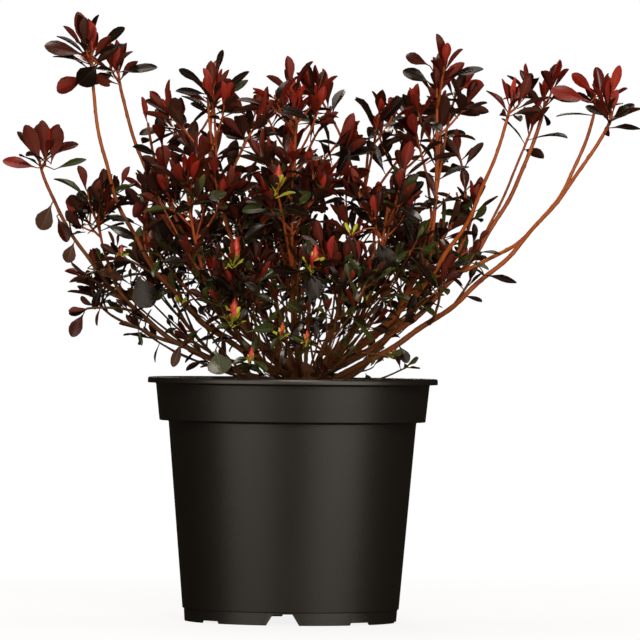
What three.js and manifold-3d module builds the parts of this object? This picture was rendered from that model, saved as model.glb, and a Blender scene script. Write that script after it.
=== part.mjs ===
// A small-leaved azalea in a black nursery pot.
// Millimetres, +Z up. The origin is on the ground, on the pot's axis. +X is the side where
// the long arms reach furthest, -Y is the front.
//
// The pot is a turned shell with a filled root ball in it. A squat root crown stands on the
// root ball, limbs rise from it (some from another limb), and each limb ends where it enters
// one mass of foliage. A mass is one stem with twigs that branch by a seeded rule, and each
// twig ends in a whorl of leaves. Every mass keeps to its own cell of the crown.
import * as THREE from "three";
import { mergeVertices } from "three/addons/utils/BufferGeometryUtils.js";
import Module from "manifold-3d";

const wasm = await Module();
wasm.setup();

// ---------------------------------------------------------------- driving sizes
const CLEAR = 0.3; // gap between solids that touch
const UP = new THREE.Vector3(0, 0, 1);
const GOLDEN_ANGLE = THREE.MathUtils.degToRad(137.508);

const POT = {
  height: 193,
  rimRadius: 115,
  rimDepth: 4.7, // height of the lip
  bandTop: 108.6, // outer radius of the band under the rim
  bandFoot: 105.5,
  bandUnder: 158.6, // height of the band's lower edge
  wallTop: 98.3, // outer radius of the tapered wall under the band
  wallFoot: 85.8,
  footRadius: 84.2,
  footStep: 10, // height where the wall steps in to the foot
  thick: 1.8,
  floorUnder: 9, // the floor is raised on the foot ring
  floorThick: 2.5,
  centreFoot: 4, // radius of the small foot in the middle
  draft: 1, // how much the feet widen upwards on their inner sides
  footFlare: 0.4, // how much the foot widens upwards on its outer side
  stepRise: 0.3,
  segments: 40,
};
const CHANNEL = { count: 4, wide: 26, narrow: 15.3, height: 8.8, start: -94 };
const SCALLOP = { count: 4, wide: 21, narrow: 19, height: 2, start: -49 };
const FOOT_CUT = { below: 1, reach: 12 }; // how far a cut goes under the foot and to either side
const DRAIN = { count: 8, radius: 4.5, circle: 72, start: -71.5, length: 8, rise: 1, sides: 8 };

const SOIL_TOP = 176;
const ROOT_BALL = {
  mound: 62, // radius of the flat top
  edgeDrop: 2, // how far the edge lies below the top
  edgeOut: 0.9, // how far the wall leans out up to that edge
  slack: 0.2,
};
const CROWN = { x: 8, y: 0, foot: SOIL_TOP + CLEAR, height: 30, flare: 30, neck: 18, segments: 20 };
// Outline of the root crown over its flare: radius, and height above its foot.
const CROWN_OUTLINE = [
  [24, 3],
  [19, 9],
  [18, 16],
  [13.5, 22],
];
const BUTTRESS = { count: 5, depth: 0.16, top: 12 };

// Limbs. From is another limb that this one leaves, and at is how far along it; the rest
// leave the root crown at a height called rise. Compass is the way a limb leans (0 is +X,
// 90 the back, 180 -X, 270 the front), reach how far out it ends from the root crown's axis,
// top how high above the ground, and bow how far it hangs below a straight line. Foot and tip
// are its radii.
const SIDE_LIMB = { foot: 2.2, tip: 1.5 };
const LIMBS = [
  { name: "far_left", compass: 182, rise: 10, reach: 205, top: 345, bow: 33, foot: 3.7, tip: 1.9 },
  { name: "top_left", compass: 195, rise: 17, reach: 173, top: 420, bow: 42, foot: 3.7, tip: 1.9 },
  { name: "top_left_inner", compass: 154, rise: 17, reach: 165, top: 420, bow: 24, foot: 3.5, tip: 1.9 },
  { name: "left_shoulder", compass: 166, rise: 22, reach: 116, top: 342, bow: 12, foot: 3.3, tip: 1.8 },
  { name: "left_crest", compass: 209, rise: 22, reach: 78, top: 345, bow: 9, foot: 3.2, tip: 1.9 },
  { name: "middle_crest", compass: 245, rise: 22, reach: 20, top: 345, bow: 4, foot: 3.2, tip: 1.9 },
  { name: "middle_right_crest", compass: 24, rise: 22, reach: 50, top: 330, bow: 6, foot: 3.2, tip: 1.9 },
  { name: "right_crest", compass: 344, rise: 22, reach: 108, top: 350, bow: 30, foot: 3.8, tip: 2.1 },
  { name: "right_arm_inner", compass: 333, rise: 16, reach: 177, top: 398, bow: 28, foot: 3.9, tip: 1.8 },
  { name: "right_arm", compass: 20, rise: 16, reach: 201, top: 402, bow: 33, foot: 3.9, tip: 2.2 },
  {
    name: "far_right_upper",
    from: "right_arm_inner",
    at: 0.48,
    compass: 7,
    reach: 229,
    top: 396,
    bow: 30,
    foot: 2.4,
    tip: 1.9,
  },
  { name: "far_right_lower", compass: 353, rise: 9, reach: 237, top: 388, bow: 24, foot: 3.9, tip: 2.0 },
  { name: "front_middle", compass: 265, rise: 18, reach: 104, top: 280, bow: 20, foot: 3.3, tip: 1.8 },
  { name: "front_left", compass: 225, rise: 18, reach: 112, top: 278, bow: 18, foot: 3.3, tip: 1.8 },
  { name: "front_right", compass: 303, rise: 18, reach: 104, top: 278, bow: 16, foot: 3.3, tip: 1.8 },
  { name: "back_left", compass: 134, rise: 20, reach: 118, top: 325, bow: 18, foot: 3.4, tip: 1.8 },
  { name: "back_middle", compass: 96, rise: 18, reach: 110, top: 335, bow: 20, foot: 3.4, tip: 1.9 },
  { name: "back_right", compass: 50, rise: 20, reach: 116, top: 325, bow: 18, foot: 3.4, tip: 1.8 },
  { name: "heart", compass: 150, rise: 23, reach: 26, top: 255, bow: 1, foot: 2.6, tip: 1.8 },
  {
    name: "left_middle",
    from: "far_left",
    at: 0.5,
    compass: 188,
    reach: 160,
    top: 293,
    bow: 5,
    ...SIDE_LIMB,
  },
  {
    name: "left_low",
    from: "far_left",
    at: 0.36,
    compass: 174,
    reach: 152,
    top: 240,
    bow: 2,
    ...SIDE_LIMB,
  },
  {
    name: "right_middle",
    from: "right_crest",
    at: 0.52,
    compass: 352,
    reach: 126,
    top: 300,
    bow: 6,
    ...SIDE_LIMB,
  },
  {
    name: "right_low",
    from: "far_right_lower",
    at: 0.34,
    compass: 340,
    reach: 112,
    top: 250,
    bow: 2,
    ...SIDE_LIMB,
  },
  { name: "back_low_left", compass: 150, rise: 9, reach: 116, top: 246, bow: 16, foot: 3.0, tip: 1.7 },
  { name: "back_low_right", compass: 36, rise: 9, reach: 92, top: 240, bow: 14, foot: 3.0, tip: 1.7 },
  { name: "back_low", compass: 88, rise: 9, reach: 116, top: 236, bow: 14, foot: 3.0, tip: 1.7 },
  { name: "front_low_left", compass: 245, rise: 9, reach: 98, top: 228, bow: 10, foot: 2.8, tip: 1.6 },
  { name: "front_low_right", compass: 284, rise: 9, reach: 98, top: 230, bow: 10, foot: 2.8, tip: 1.6 },
];
const SIDES = 6; // of a limb's section
const STEP = 44; // length of one straight piece of a limb
const FEWEST_STEPS = 4;
const THINNING = 1.4; // above 1, a limb thins faster near the crown than towards its tip

// Masses of foliage, one on each limb. Stem is the length of its stem, twigs how many side
// twigs leave it, spread how long those are, leaves how many each of them carries, and leaf
// how long a leaf is.
const SEED = 1019;
const MASSES = [
  { on: "far_left", stem: 24, twigs: 1, spread: 18, leaves: 9, leaf: 36 },
  { on: "top_left", stem: 28, twigs: 2, spread: 20, leaves: 7, leaf: 36 },
  { on: "top_left_inner", stem: 18, twigs: 1, spread: 18, leaves: 8, leaf: 36 },
  { on: "left_shoulder", stem: 54, twigs: 4, spread: 38, leaves: 6, leaf: 42 },
  { on: "left_crest", stem: 68, twigs: 4, spread: 40, leaves: 6, leaf: 42 },
  { on: "middle_crest", stem: 60, twigs: 4, spread: 40, leaves: 6, leaf: 42 },
  { on: "middle_right_crest", stem: 72, twigs: 4, spread: 38, leaves: 6, leaf: 42 },
  { on: "right_crest", stem: 72, twigs: 4, spread: 40, leaves: 6, leaf: 42 },
  { on: "right_arm_inner", stem: 11, twigs: 1, spread: 14, leaves: 8, leaf: 32 },
  { on: "right_arm", stem: 15, twigs: 2, spread: 22, leaves: 7, leaf: 36 },
  { on: "far_right_upper", stem: 20, twigs: 1, spread: 18, leaves: 8, leaf: 33 },
  { on: "far_right_lower", stem: 18, twigs: 2, spread: 14, leaves: 6, leaf: 31 },
  { on: "front_middle", stem: 80, twigs: 4, spread: 40, leaves: 6, leaf: 42 },
  { on: "front_left", stem: 74, twigs: 4, spread: 42, leaves: 6, leaf: 42 },
  { on: "front_right", stem: 74, twigs: 4, spread: 42, leaves: 6, leaf: 42 },
  { on: "back_left", stem: 76, twigs: 4, spread: 42, leaves: 6, leaf: 42 },
  { on: "back_middle", stem: 78, twigs: 4, spread: 42, leaves: 6, leaf: 42 },
  { on: "back_right", stem: 76, twigs: 4, spread: 42, leaves: 6, leaf: 42 },
  { on: "heart", stem: 70, twigs: 4, spread: 36, leaves: 5, leaf: 42 },
  { on: "left_middle", stem: 26, twigs: 3, spread: 28, leaves: 5, leaf: 36 },
  { on: "left_low", stem: 22, twigs: 2, spread: 22, leaves: 4, leaf: 36 },
  { on: "right_middle", stem: 34, twigs: 3, spread: 30, leaves: 5, leaf: 42 },
  { on: "right_low", stem: 20, twigs: 2, spread: 20, leaves: 4, leaf: 36 },
  { on: "back_low_left", stem: 52, twigs: 4, spread: 36, leaves: 5, leaf: 42 },
  { on: "back_low_right", stem: 52, twigs: 4, spread: 36, leaves: 5, leaf: 42 },
  { on: "back_low", stem: 54, twigs: 4, spread: 36, leaves: 5, leaf: 42 },
  { on: "front_low_left", stem: 42, twigs: 3, spread: 34, leaves: 5, leaf: 42 },
  { on: "front_low_right", stem: 42, twigs: 3, spread: 34, leaves: 5, leaf: 42 },
];
const LEAF = { width: 0.44, thick: 1.0, widest: 0.58, droop: 0.1, roll: 0.9, checks: 9 };

// A stem bends up by its lift from halfway along.
const STEM = { lift: 0.5, bend: 0.5, tip: 1.4, sides: 4, steps: 3 };
// Side twigs leave a stem over a part of it, at a tilt in radians, and then bend up. The
// lower ones are longer and more tilted, and play is how much chance moves each.
const TWIG = {
  from: 0.3,
  over: 0.6,
  stagger: 0.4,
  tilt: 1.05,
  tiltFall: 0.35,
  tiltPlay: 0.15,
  long: 1.15,
  longFall: 0.45,
  longPlay: 0.3,
  straight: 0.55,
  bent: 0.5,
  lift: 1.1,
  foot: 0.95,
  tip: 0.8,
  sides: 3,
  steps: 2,
  checks: 10,
};
// A whorl's leaves leave the last stretch of a twig, the lowest ones most tilted.
const WHORL = {
  stretch: 22,
  mostShare: 0.7,
  end: 0.02,
  tilt: 1.45,
  tiltFall: 1.0,
  tiltPlay: 0.2,
  shrink: 0.2,
  longPlay: 0.2,
};
// A mass's cell has its middle up the stem, and a size from the stem and the spread.
const CELL = { middle: 0.7, stem: 0.35, spread: 0.6 };

const TOUCH = 0.01; // mm3 that a leaf may share with another leaf, or a twig not its own
const WELD = 0.001; // corners closer than this are joined
const TWIN = 0.003; // corners closer than this would be taken for one
const MASS_GAP = 0.8; // kept from the next mass's cell
const LIMB_GAP = 1.6; // kept from the limbs of other masses
const OWN_LIMB_GAP = 0.4;
const LIMB_CHECK = 4; // distance between the points where a limb is looked at
const POT_GAP = 4; // kept from the soil and the pot's rim
const WALL_GAP = 8; // kept from the pot's wall, inside it

// ---------------------------------------------------------------- solids and meshes
function toSolid(geometry) {
  const bare = geometry.clone();
  for (const name of ["normal", "uv"]) bare.deleteAttribute(name);
  const merged = mergeVertices(bare, WELD);
  return new wasm.Manifold(
    new wasm.Mesh({
      numProp: 3,
      vertProperties: merged.attributes.position.array,
      triVerts: new Uint32Array(merged.index.array),
    }),
  );
}

function toGeometry(solid) {
  const mesh = solid.getMesh();
  const geometry = new THREE.BufferGeometry();
  geometry.setAttribute("position", new THREE.BufferAttribute(mesh.vertProperties, 3));
  geometry.setIndex(new THREE.BufferAttribute(mesh.triVerts, 1));
  geometry.computeVertexNormals();
  return geometry;
}

// The largest body of a solid: loose scraps and sealed hollows are left behind.
function largestBody(solid) {
  return solid.decompose().reduce((a, b) => (a.volume() > b.volume() ? a : b));
}

// Whether two corners of a solid are twins.
function hasTwinCorners(solid) {
  const corners = solid.getMesh().vertProperties;
  for (let i = 0; i < corners.length; i += 3) {
    for (let j = i + 3; j < corners.length; j += 3) {
      const apart = Math.hypot(
        corners[i] - corners[j],
        corners[i + 1] - corners[j + 1],
        corners[i + 2] - corners[j + 2],
      );
      if (apart < TWIN) return true;
    }
  }
  return false;
}

// The same numbers each run.
function seeded(seed) {
  let state = seed >>> 0;
  return () => {
    state = (Math.imul(state, 1664525) + 1013904223) >>> 0;
    return state / 4294967296;
  };
}

// A cylinder bent along a curve, with its radius given along the way. Both ends are flat.
function bentTube(curve, radiusAt, sides, steps) {
  const geometry = new THREE.CylinderGeometry(1, 1, 1, sides, steps);
  const frames = curve.computeFrenetFrames(steps, false);
  const position = geometry.attributes.position;
  const point = new THREE.Vector3();
  for (let i = 0; i < position.count; i++) {
    const share = position.getY(i) + 0.5;
    const ring = Math.round(share * steps);
    const radius = radiusAt(share);
    const normal = frames.normals[ring];
    const across = new THREE.Vector3().crossVectors(normal, frames.tangents[ring]);
    curve.getPointAt(ring / steps, point);
    point.addScaledVector(normal, position.getX(i) * radius);
    point.addScaledVector(across, position.getZ(i) * radius);
    position.setXYZ(i, point.x, point.y, point.z);
  }
  return geometry;
}

// A place on the middle line of a bent tube, which is straight from step to step.
function onTube(curve, steps, share) {
  const before = Math.min(Math.floor(share * steps), steps - 1);
  const start = curve.getPointAt(before / steps);
  return start.lerp(curve.getPointAt((before + 1) / steps), share * steps - before);
}

// A number about 0, at most half the amount to either side.
function chance(draw, amount) {
  return amount * (draw() - 0.5);
}

function taper(foot, tip, power = 1) {
  return (share) => tip + (foot - tip) * (1 - share) ** power;
}

// ---------------------------------------------------------------- pot and root ball
function lathe(outline, segments) {
  const profile = outline.map(([radius, height]) => new THREE.Vector2(radius, height));
  const geometry = new THREE.LatheGeometry(profile, segments);
  geometry.rotateX(Math.PI / 2); // turned about +Z instead of +Y
  return toSolid(geometry);
}

function potShell() {
  const { thick, height, floorUnder, floorThick, centreFoot, draft, footRadius, footStep } = POT;
  const outline = [
    [0, 0],
    [centreFoot, 0],
    [centreFoot + draft, floorUnder],
    [footRadius - thick - draft, floorUnder],
    [footRadius - thick, 0],
    [footRadius, 0],
    [footRadius + POT.footFlare, footStep],
    [POT.wallFoot, footStep + POT.stepRise],
    [POT.wallTop, POT.bandUnder],
    [POT.bandFoot, POT.bandUnder],
    [POT.bandTop, height - POT.rimDepth],
    [POT.rimRadius, height - POT.rimDepth],
    [POT.rimRadius, height],
    [POT.bandTop - thick, height],
    [POT.bandFoot - thick, POT.bandUnder + thick],
    [POT.wallTop - thick, POT.bandUnder + thick],
    [POT.wallFoot - thick, floorUnder + floorThick],
    [0, floorUnder + floorThick],
  ];
  return lathe(outline, POT.segments);
}

// Wedges that are cut through the foot ring, evenly round it.
function footCuts({ count, wide, narrow, height, start }) {
  const { below, reach } = FOOT_CUT;
  const flare = ((wide - narrow) * below) / height;
  const shape = new THREE.Shape([
    new THREE.Vector2(-(wide + flare) / 2, -below),
    new THREE.Vector2((wide + flare) / 2, -below),
    new THREE.Vector2(narrow / 2, height),
    new THREE.Vector2(-narrow / 2, height),
  ]);
  return Array.from({ length: count }, (_, i) => {
    const cut = new THREE.ExtrudeGeometry(shape, { depth: 2 * reach, bevelEnabled: false });
    cut.rotateX(Math.PI / 2);
    cut.rotateZ(Math.PI / 2);
    cut.translate(POT.footRadius - reach, 0, 0);
    cut.rotateZ(THREE.MathUtils.degToRad(start + (i * 360) / count));
    return toSolid(cut);
  });
}

function drainHoles() {
  return Array.from({ length: DRAIN.count }, (_, i) => {
    const hole = new THREE.CylinderGeometry(DRAIN.radius, DRAIN.radius, DRAIN.length, DRAIN.sides);
    hole.rotateX(Math.PI / 2);
    hole.translate(DRAIN.circle, 0, POT.floorUnder + DRAIN.rise);
    hole.rotateZ(THREE.MathUtils.degToRad(DRAIN.start + (i * 360) / DRAIN.count));
    return toSolid(hole);
  });
}

function makePot() {
  const cuts = [...footCuts(CHANNEL), ...footCuts(SCALLOP), ...drainHoles()];
  return cuts.reduce((pot, cut) => pot.subtract(cut), potShell());
}

function makeRootBall() {
  const { thick } = POT;
  const { mound, edgeDrop, edgeOut, slack } = ROOT_BALL;
  const floor = POT.floorUnder + POT.floorThick + CLEAR;
  const ledge = POT.bandUnder + thick + CLEAR;
  return lathe(
    [
      [0, floor],
      [POT.wallFoot - thick - CLEAR - slack, floor],
      [POT.wallTop - thick - CLEAR - slack, ledge],
      [POT.bandFoot - thick - CLEAR, ledge],
      [POT.bandFoot - thick + edgeOut, SOIL_TOP - edgeDrop],
      [mound, SOIL_TOP],
      [0, SOIL_TOP],
    ],
    POT.segments / 2,
  );
}

// ---------------------------------------------------------------- root crown and limbs
const crownAxis = new THREE.Vector3(CROWN.x, CROWN.y, 0);

// A squat stool with a flared, buttressed foot and a domed top. Grow makes it larger all round.
function makeCrown(grow = 0) {
  const { foot, height, flare, segments } = CROWN;
  const outline = [
    [0, foot - grow],
    [flare + grow, foot - grow],
    ...CROWN_OUTLINE.map(([radius, above]) => [radius + grow, foot + above]),
    [0, foot + height + grow],
  ];
  const profile = outline.map(([radius, z]) => new THREE.Vector2(radius, z));
  const geometry = new THREE.LatheGeometry(profile, segments);
  geometry.rotateX(Math.PI / 2);
  const position = geometry.attributes.position;
  for (let i = 0; i < position.count; i++) {
    const x = position.getX(i);
    const y = position.getY(i);
    const low = THREE.MathUtils.clamp(1 - (position.getZ(i) - foot) / BUTTRESS.top, 0, 1);
    const lobe = 1 + BUTTRESS.depth * low * Math.cos(BUTTRESS.count * Math.atan2(y, x));
    position.setXYZ(i, x * lobe + CROWN.x, y * lobe + CROWN.y, position.getZ(i));
  }
  return toSolid(geometry);
}

// How a limb runs: out from its root, low at first, and then up to its tip.
function limbCurve(limb, parent) {
  const angle = THREE.MathUtils.degToRad(limb.compass);
  const outward = new THREE.Vector3(Math.cos(angle), Math.sin(angle), 0);
  const tip = crownAxis.clone().addScaledVector(outward, limb.reach).setZ(limb.top);
  let root;
  if (parent) {
    root = parent.curve.getPointAt(limb.at);
  } else {
    root = crownAxis.clone().addScaledVector(outward, CROWN.neck / 2);
    root.setZ(CROWN.foot + limb.rise);
  }
  const chord = tip.clone().sub(root);
  const level = new THREE.Vector3(chord.x, chord.y, 0).normalize();
  const hang = level
    .multiplyScalar(chord.z)
    .addScaledVector(UP, -Math.hypot(chord.x, chord.y))
    .normalize();
  const middle = root.clone().lerp(tip, 0.5).addScaledVector(hang, 2 * limb.bow);
  return new THREE.QuadraticBezierCurve3(root, middle, tip);
}

const limbs = new Map();
for (const limb of LIMBS) {
  const parent = limbs.get(limb.from);
  const curve = limbCurve(limb, parent);
  const steps = Math.max(FEWEST_STEPS, Math.round(curve.getLength() / STEP));
  const radiusAt = taper(limb.foot, limb.tip, parent ? 1 : THINNING);
  limbs.set(limb.name, { ...limb, parent, curve, steps, radiusAt });
}

function limbTube(limb, grow = 0) {
  const radiusAt = (share) => limb.radiusAt(share) + grow;
  return toSolid(bentTube(limb.curve, radiusAt, SIDES, limb.steps));
}

// A limb starts inside what carries it. That is cut away from it with a small gap, and so
// are the limbs before it where their feet crowd together.
function makeLimb(limb) {
  const carrier = limb.parent ? limbTube(limb.parent, CLEAR) : makeCrown(CLEAR);
  let solid = limbTube(limb).subtract(carrier);
  for (const earlier of limbs.values()) {
    if (earlier === limb) break;
    const thicker = limbTube(earlier, CLEAR);
    if (thicker.intersect(solid).volume() > 0) solid = solid.subtract(thicker);
  }
  return largestBody(solid);
}

// ---------------------------------------------------------------- the masses' own rule
// The stem of a mass, the side twigs that leave it, and the mass's cell.
function massSkeleton(mass, index) {
  const limb = limbs.get(mass.on);
  const draw = seeded(SEED * (index + 1));
  const along = limb.curve.getTangentAt(1);
  const root = limb.curve.getPointAt(1).addScaledVector(along, CLEAR);
  const stemEnd = along.clone().addScaledVector(UP, STEM.lift).normalize();
  const end = root.clone().addScaledVector(stemEnd, mass.stem);
  const bend = root.clone().addScaledVector(along, mass.stem * STEM.bend);
  const stem = new THREE.QuadraticBezierCurve3(root, bend, end);
  const twigs = [];
  const firstTurn = draw() * 2 * Math.PI;
  for (let k = 0; k < mass.twigs; k++) {
    const share = TWIG.from + (TWIG.over * (k + draw() * TWIG.stagger)) / mass.twigs;
    const turn = firstTurn + k * GOLDEN_ANGLE;
    const tilt = TWIG.tilt - TWIG.tiltFall * share + chance(draw, TWIG.tiltPlay);
    const length = mass.spread * (TWIG.long - TWIG.longFall * share) * (1 + chance(draw, TWIG.longPlay));
    twigs.push(sideTwig(stem, share, turn, tilt, length));
  }
  return { mass, limb, index, draw, stem, twigs, cell: massCell(mass, root, stemEnd) };
}

// A direction that leans from an axis by a tilt, at a turn round it.
function leaning(axis, turn, tilt) {
  const side = Math.abs(axis.z) < 0.9 ? UP : new THREE.Vector3(1, 0, 0);
  const first = new THREE.Vector3().crossVectors(axis, side).normalize();
  const second = new THREE.Vector3().crossVectors(axis, first);
  return axis
    .clone()
    .multiplyScalar(Math.cos(tilt))
    .addScaledVector(first, Math.sin(tilt) * Math.cos(turn))
    .addScaledVector(second, Math.sin(tilt) * Math.sin(turn));
}

function sideTwig(stem, share, turn, tilt, length) {
  const root = onTube(stem, STEM.steps, share);
  const leave = leaning(stem.getTangentAt(share), turn, tilt);
  const middle = root.clone().addScaledVector(leave, length * TWIG.straight);
  const rise = leave.clone().addScaledVector(UP, TWIG.lift).normalize();
  const end = middle.clone().addScaledVector(rise, length * TWIG.bent);
  return new THREE.QuadraticBezierCurve3(root, middle, end);
}

// The space of a mass: its middle, and a size that moves its borders with its neighbours.
function massCell(mass, root, along) {
  const middle = root.clone().addScaledVector(along, mass.stem * CELL.middle);
  return { middle, size: mass.stem * CELL.stem + mass.spread * CELL.spread };
}

function leafPose(twig, steps, share, turn, tilt, length, roll) {
  const root = onTube(twig, steps, share);
  const along = leaning(twig.getTangentAt(share), turn, tilt);
  const side = new THREE.Vector3().crossVectors(along, UP);
  if (side.lengthSq() < 1e-4) side.set(1, 0, 0);
  side.normalize().applyAxisAngle(along, roll);
  const above = new THREE.Vector3().crossVectors(side, along).normalize();
  return { root, along, side, above, length };
}

// Leaves stand round the last stretch of a twig, the lowest ones spread and the last upright.
function whorl(twig, steps, mass, draw) {
  const stretch = Math.min(WHORL.mostShare, WHORL.stretch / twig.getLength());
  const firstTurn = draw() * 2 * Math.PI;
  return Array.from({ length: mass.leaves }, (_, k) => {
    const rank = k / (mass.leaves - 1);
    const share = 1 - stretch * (1 - rank) - WHORL.end;
    const tilt = WHORL.tilt - WHORL.tiltFall * rank + chance(draw, WHORL.tiltPlay);
    const length = mass.leaf * (1 - WHORL.shrink * rank) * (1 + chance(draw, WHORL.longPlay));
    const roll = chance(draw, 2 * LEAF.roll);
    return leafPose(twig, steps, share, firstTurn + k * GOLDEN_ANGLE, tilt, length, roll);
  });
}

// Places on a leaf: x across it, y from the root (-1) to the tip (1), z above its middle.
function leafFrame({ root, along, side, above, length }) {
  return (x, y, z) => {
    const share = y < 0 ? (y + 1) * LEAF.widest : LEAF.widest + y * (1 - LEAF.widest);
    return root
      .clone()
      .addScaledVector(along, share * length)
      .addScaledVector(side, x * 0.5 * LEAF.width * length)
      .addScaledVector(above, z * 0.5 * LEAF.thick - LEAF.droop * length * share * share);
  };
}

// A leaf has six corners: root, tip, two sides, top and underside.
function leafSolid(pose) {
  const geometry = new THREE.OctahedronGeometry(1);
  const place = leafFrame(pose);
  const position = geometry.attributes.position;
  for (let i = 0; i < position.count; i++) {
    const corner = place(position.getX(i), position.getY(i), position.getZ(i));
    position.setXYZ(i, corner.x, corner.y, corner.z);
  }
  const solid = toSolid(geometry);
  if (solid.volume() > 0) return solid;
  throw new Error("a leaf is inside out");
}

// ---------------------------------------------------------------- keeping clear
const limbPoints = [...limbs.values()].flatMap((limb) => {
  const count = Math.ceil(limb.curve.getLength() / LIMB_CHECK);
  return Array.from({ length: count + 1 }, (_, i) => ({
    limb,
    point: limb.curve.getPointAt(i / count),
    radius: limb.radiusAt(i / count),
  }));
});

// A mass may come closer to the limb that it grows on than to the others.
function clearOfLimbs(point, half, own) {
  return limbPoints.every(({ limb, point: other, radius }) => {
    const gap = limb === own ? OWN_LIMB_GAP : LIMB_GAP;
    return point.distanceTo(other) > radius + half + gap;
  });
}

function inCell(point, skeletons, index) {
  const own = skeletons[index].cell;
  const power = point.distanceToSquared(own.middle) - own.size ** 2;
  return skeletons.every(({ cell }, other) => {
    if (other === index) return true;
    const theirs = point.distanceToSquared(cell.middle) - cell.size ** 2;
    return theirs - power > 2 * MASS_GAP * own.middle.distanceTo(cell.middle);
  });
}

// Points all over a leaf but its root, close enough together to find a limb between them.
function leafPoints(pose) {
  const place = leafFrame(pose);
  const across = [-1, -0.5, 0, 0.5, 1];
  return Array.from({ length: LEAF.checks }, (_, i) => (2 * (i + 1)) / LEAF.checks - 1).flatMap(
    (y) => across.map((x) => place(x * (1 - Math.abs(y)), y, 0)),
  );
}

function leafFits(pose, skeletons, index) {
  const { limb } = skeletons[index];
  return leafPoints(pose).every((p) => {
    const overSoil = p.z > SOIL_TOP + POT_GAP;
    const inPot = Math.hypot(p.x, p.y) < POT.bandFoot - WALL_GAP;
    const overRim = p.z > POT.height + POT_GAP || inPot;
    return (
      overSoil && overRim && inCell(p, skeletons, index) && clearOfLimbs(p, LEAF.thick, limb)
    );
  });
}

function twigFits(twig, skeletons, index) {
  const { limb } = skeletons[index];
  const clear = (p) => inCell(p, skeletons, index) && clearOfLimbs(p, TWIG.foot, limb);
  return twig.getSpacedPoints(TWIG.checks).every(clear);
}

function makeMass(skeleton, skeletons) {
  const { mass, limb, index, draw, stem } = skeleton;
  const stemRadius = taper(limb.tip, STEM.tip);
  const stemTube = toSolid(bentTube(stem, stemRadius, STEM.sides, STEM.steps));
  const wood = new Map([[stem, stemTube]]);
  let body = stemTube;
  const fuse = (piece) => {
    const joined = body.add(piece);
    if (hasTwinCorners(joined)) return false;
    body = joined;
    return true;
  };
  for (const twig of skeleton.twigs) {
    if (!twigFits(twig, skeletons, index)) continue;
    const tube = toSolid(bentTube(twig, taper(TWIG.foot, TWIG.tip), TWIG.sides, TWIG.steps));
    if (fuse(tube)) wood.set(twig, tube);
  }
  const leaves = [];
  for (const [carrier, own] of wood) {
    const others = [...wood.values()].filter((solid) => solid !== own);
    const steps = carrier === stem ? STEM.steps : TWIG.steps;
    for (const pose of whorl(carrier, steps, mass, draw)) {
      if (!leafFits(pose, skeletons, index)) continue;
      const leaf = leafSolid(pose);
      const touches = (solid) => solid.intersect(leaf).volume() > TOUCH;
      if (leaves.some(touches) || others.some(touches)) continue;
      if (fuse(leaf)) leaves.push(leaf);
    }
  }
  return largestBody(body);
}

// ---------------------------------------------------------------- materials and assembly
function finish(color, roughness) {
  return new THREE.MeshStandardMaterial({ color, roughness, metalness: 0 });
}

const MATERIALS = {
  plastic: finish(0x1c1b1a, 0.45),
  peat: finish(0x2a1c12, 1),
  bark: finish(0x5a3a22, 0.8),
  limb: finish(0x8a4520, 0.65),
  foliage: finish(0x4a1712, 0.5),
};

const azalea = new THREE.Group();
azalea.name = "azalea_shrub";

function add(name, solid, material) {
  const mesh = new THREE.Mesh(toGeometry(solid), material);
  mesh.name = name;
  azalea.add(mesh);
}

add("pot", makePot(), MATERIALS.plastic);
add("root_ball", makeRootBall(), MATERIALS.peat);
add("root_crown", makeCrown(), MATERIALS.bark);
for (const limb of limbs.values()) add(`limb_${limb.name}`, makeLimb(limb), MATERIALS.limb);

const skeletons = MASSES.map(massSkeleton);
for (const skeleton of skeletons) {
  add(`foliage_${skeleton.mass.on}`, makeMass(skeleton, skeletons), MATERIALS.foliage);
}

export default azalea;
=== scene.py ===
# %% [markdown]
# # A small-leaved azalea in a black nursery pot
#
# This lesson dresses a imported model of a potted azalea: a spreading evergreen shrub, half a
# metre wide, with bare orange stems and tufts of bronze and red leaves at their ends. The
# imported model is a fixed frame. It holds plain solids at their real size, and each piece that
# is made here stands where one or more of those solids stand.

# %% The frame
import math
from collections import namedtuple

import bpy
import numpy as np
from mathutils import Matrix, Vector


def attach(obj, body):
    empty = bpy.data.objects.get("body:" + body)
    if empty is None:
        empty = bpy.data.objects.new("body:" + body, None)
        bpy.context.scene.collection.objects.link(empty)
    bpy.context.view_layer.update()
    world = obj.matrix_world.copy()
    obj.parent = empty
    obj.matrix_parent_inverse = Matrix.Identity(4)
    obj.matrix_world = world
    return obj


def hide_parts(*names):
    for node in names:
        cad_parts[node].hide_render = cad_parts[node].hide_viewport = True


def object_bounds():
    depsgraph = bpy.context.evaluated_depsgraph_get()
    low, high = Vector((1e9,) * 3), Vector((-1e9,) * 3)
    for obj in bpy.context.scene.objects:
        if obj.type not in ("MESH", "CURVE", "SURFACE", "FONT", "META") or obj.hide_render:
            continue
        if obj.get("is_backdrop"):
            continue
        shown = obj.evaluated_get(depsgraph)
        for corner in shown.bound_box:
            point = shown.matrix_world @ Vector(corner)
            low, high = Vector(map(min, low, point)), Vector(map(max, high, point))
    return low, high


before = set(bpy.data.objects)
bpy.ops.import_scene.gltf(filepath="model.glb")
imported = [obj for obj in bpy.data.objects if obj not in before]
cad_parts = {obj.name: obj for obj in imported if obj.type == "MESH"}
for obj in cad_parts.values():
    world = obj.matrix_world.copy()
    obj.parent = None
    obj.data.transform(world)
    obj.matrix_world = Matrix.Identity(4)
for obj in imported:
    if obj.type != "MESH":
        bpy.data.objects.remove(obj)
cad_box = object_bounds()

print("the solids reach from", tuple(cad_box[0]), "to", tuple(cad_box[1]))

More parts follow.
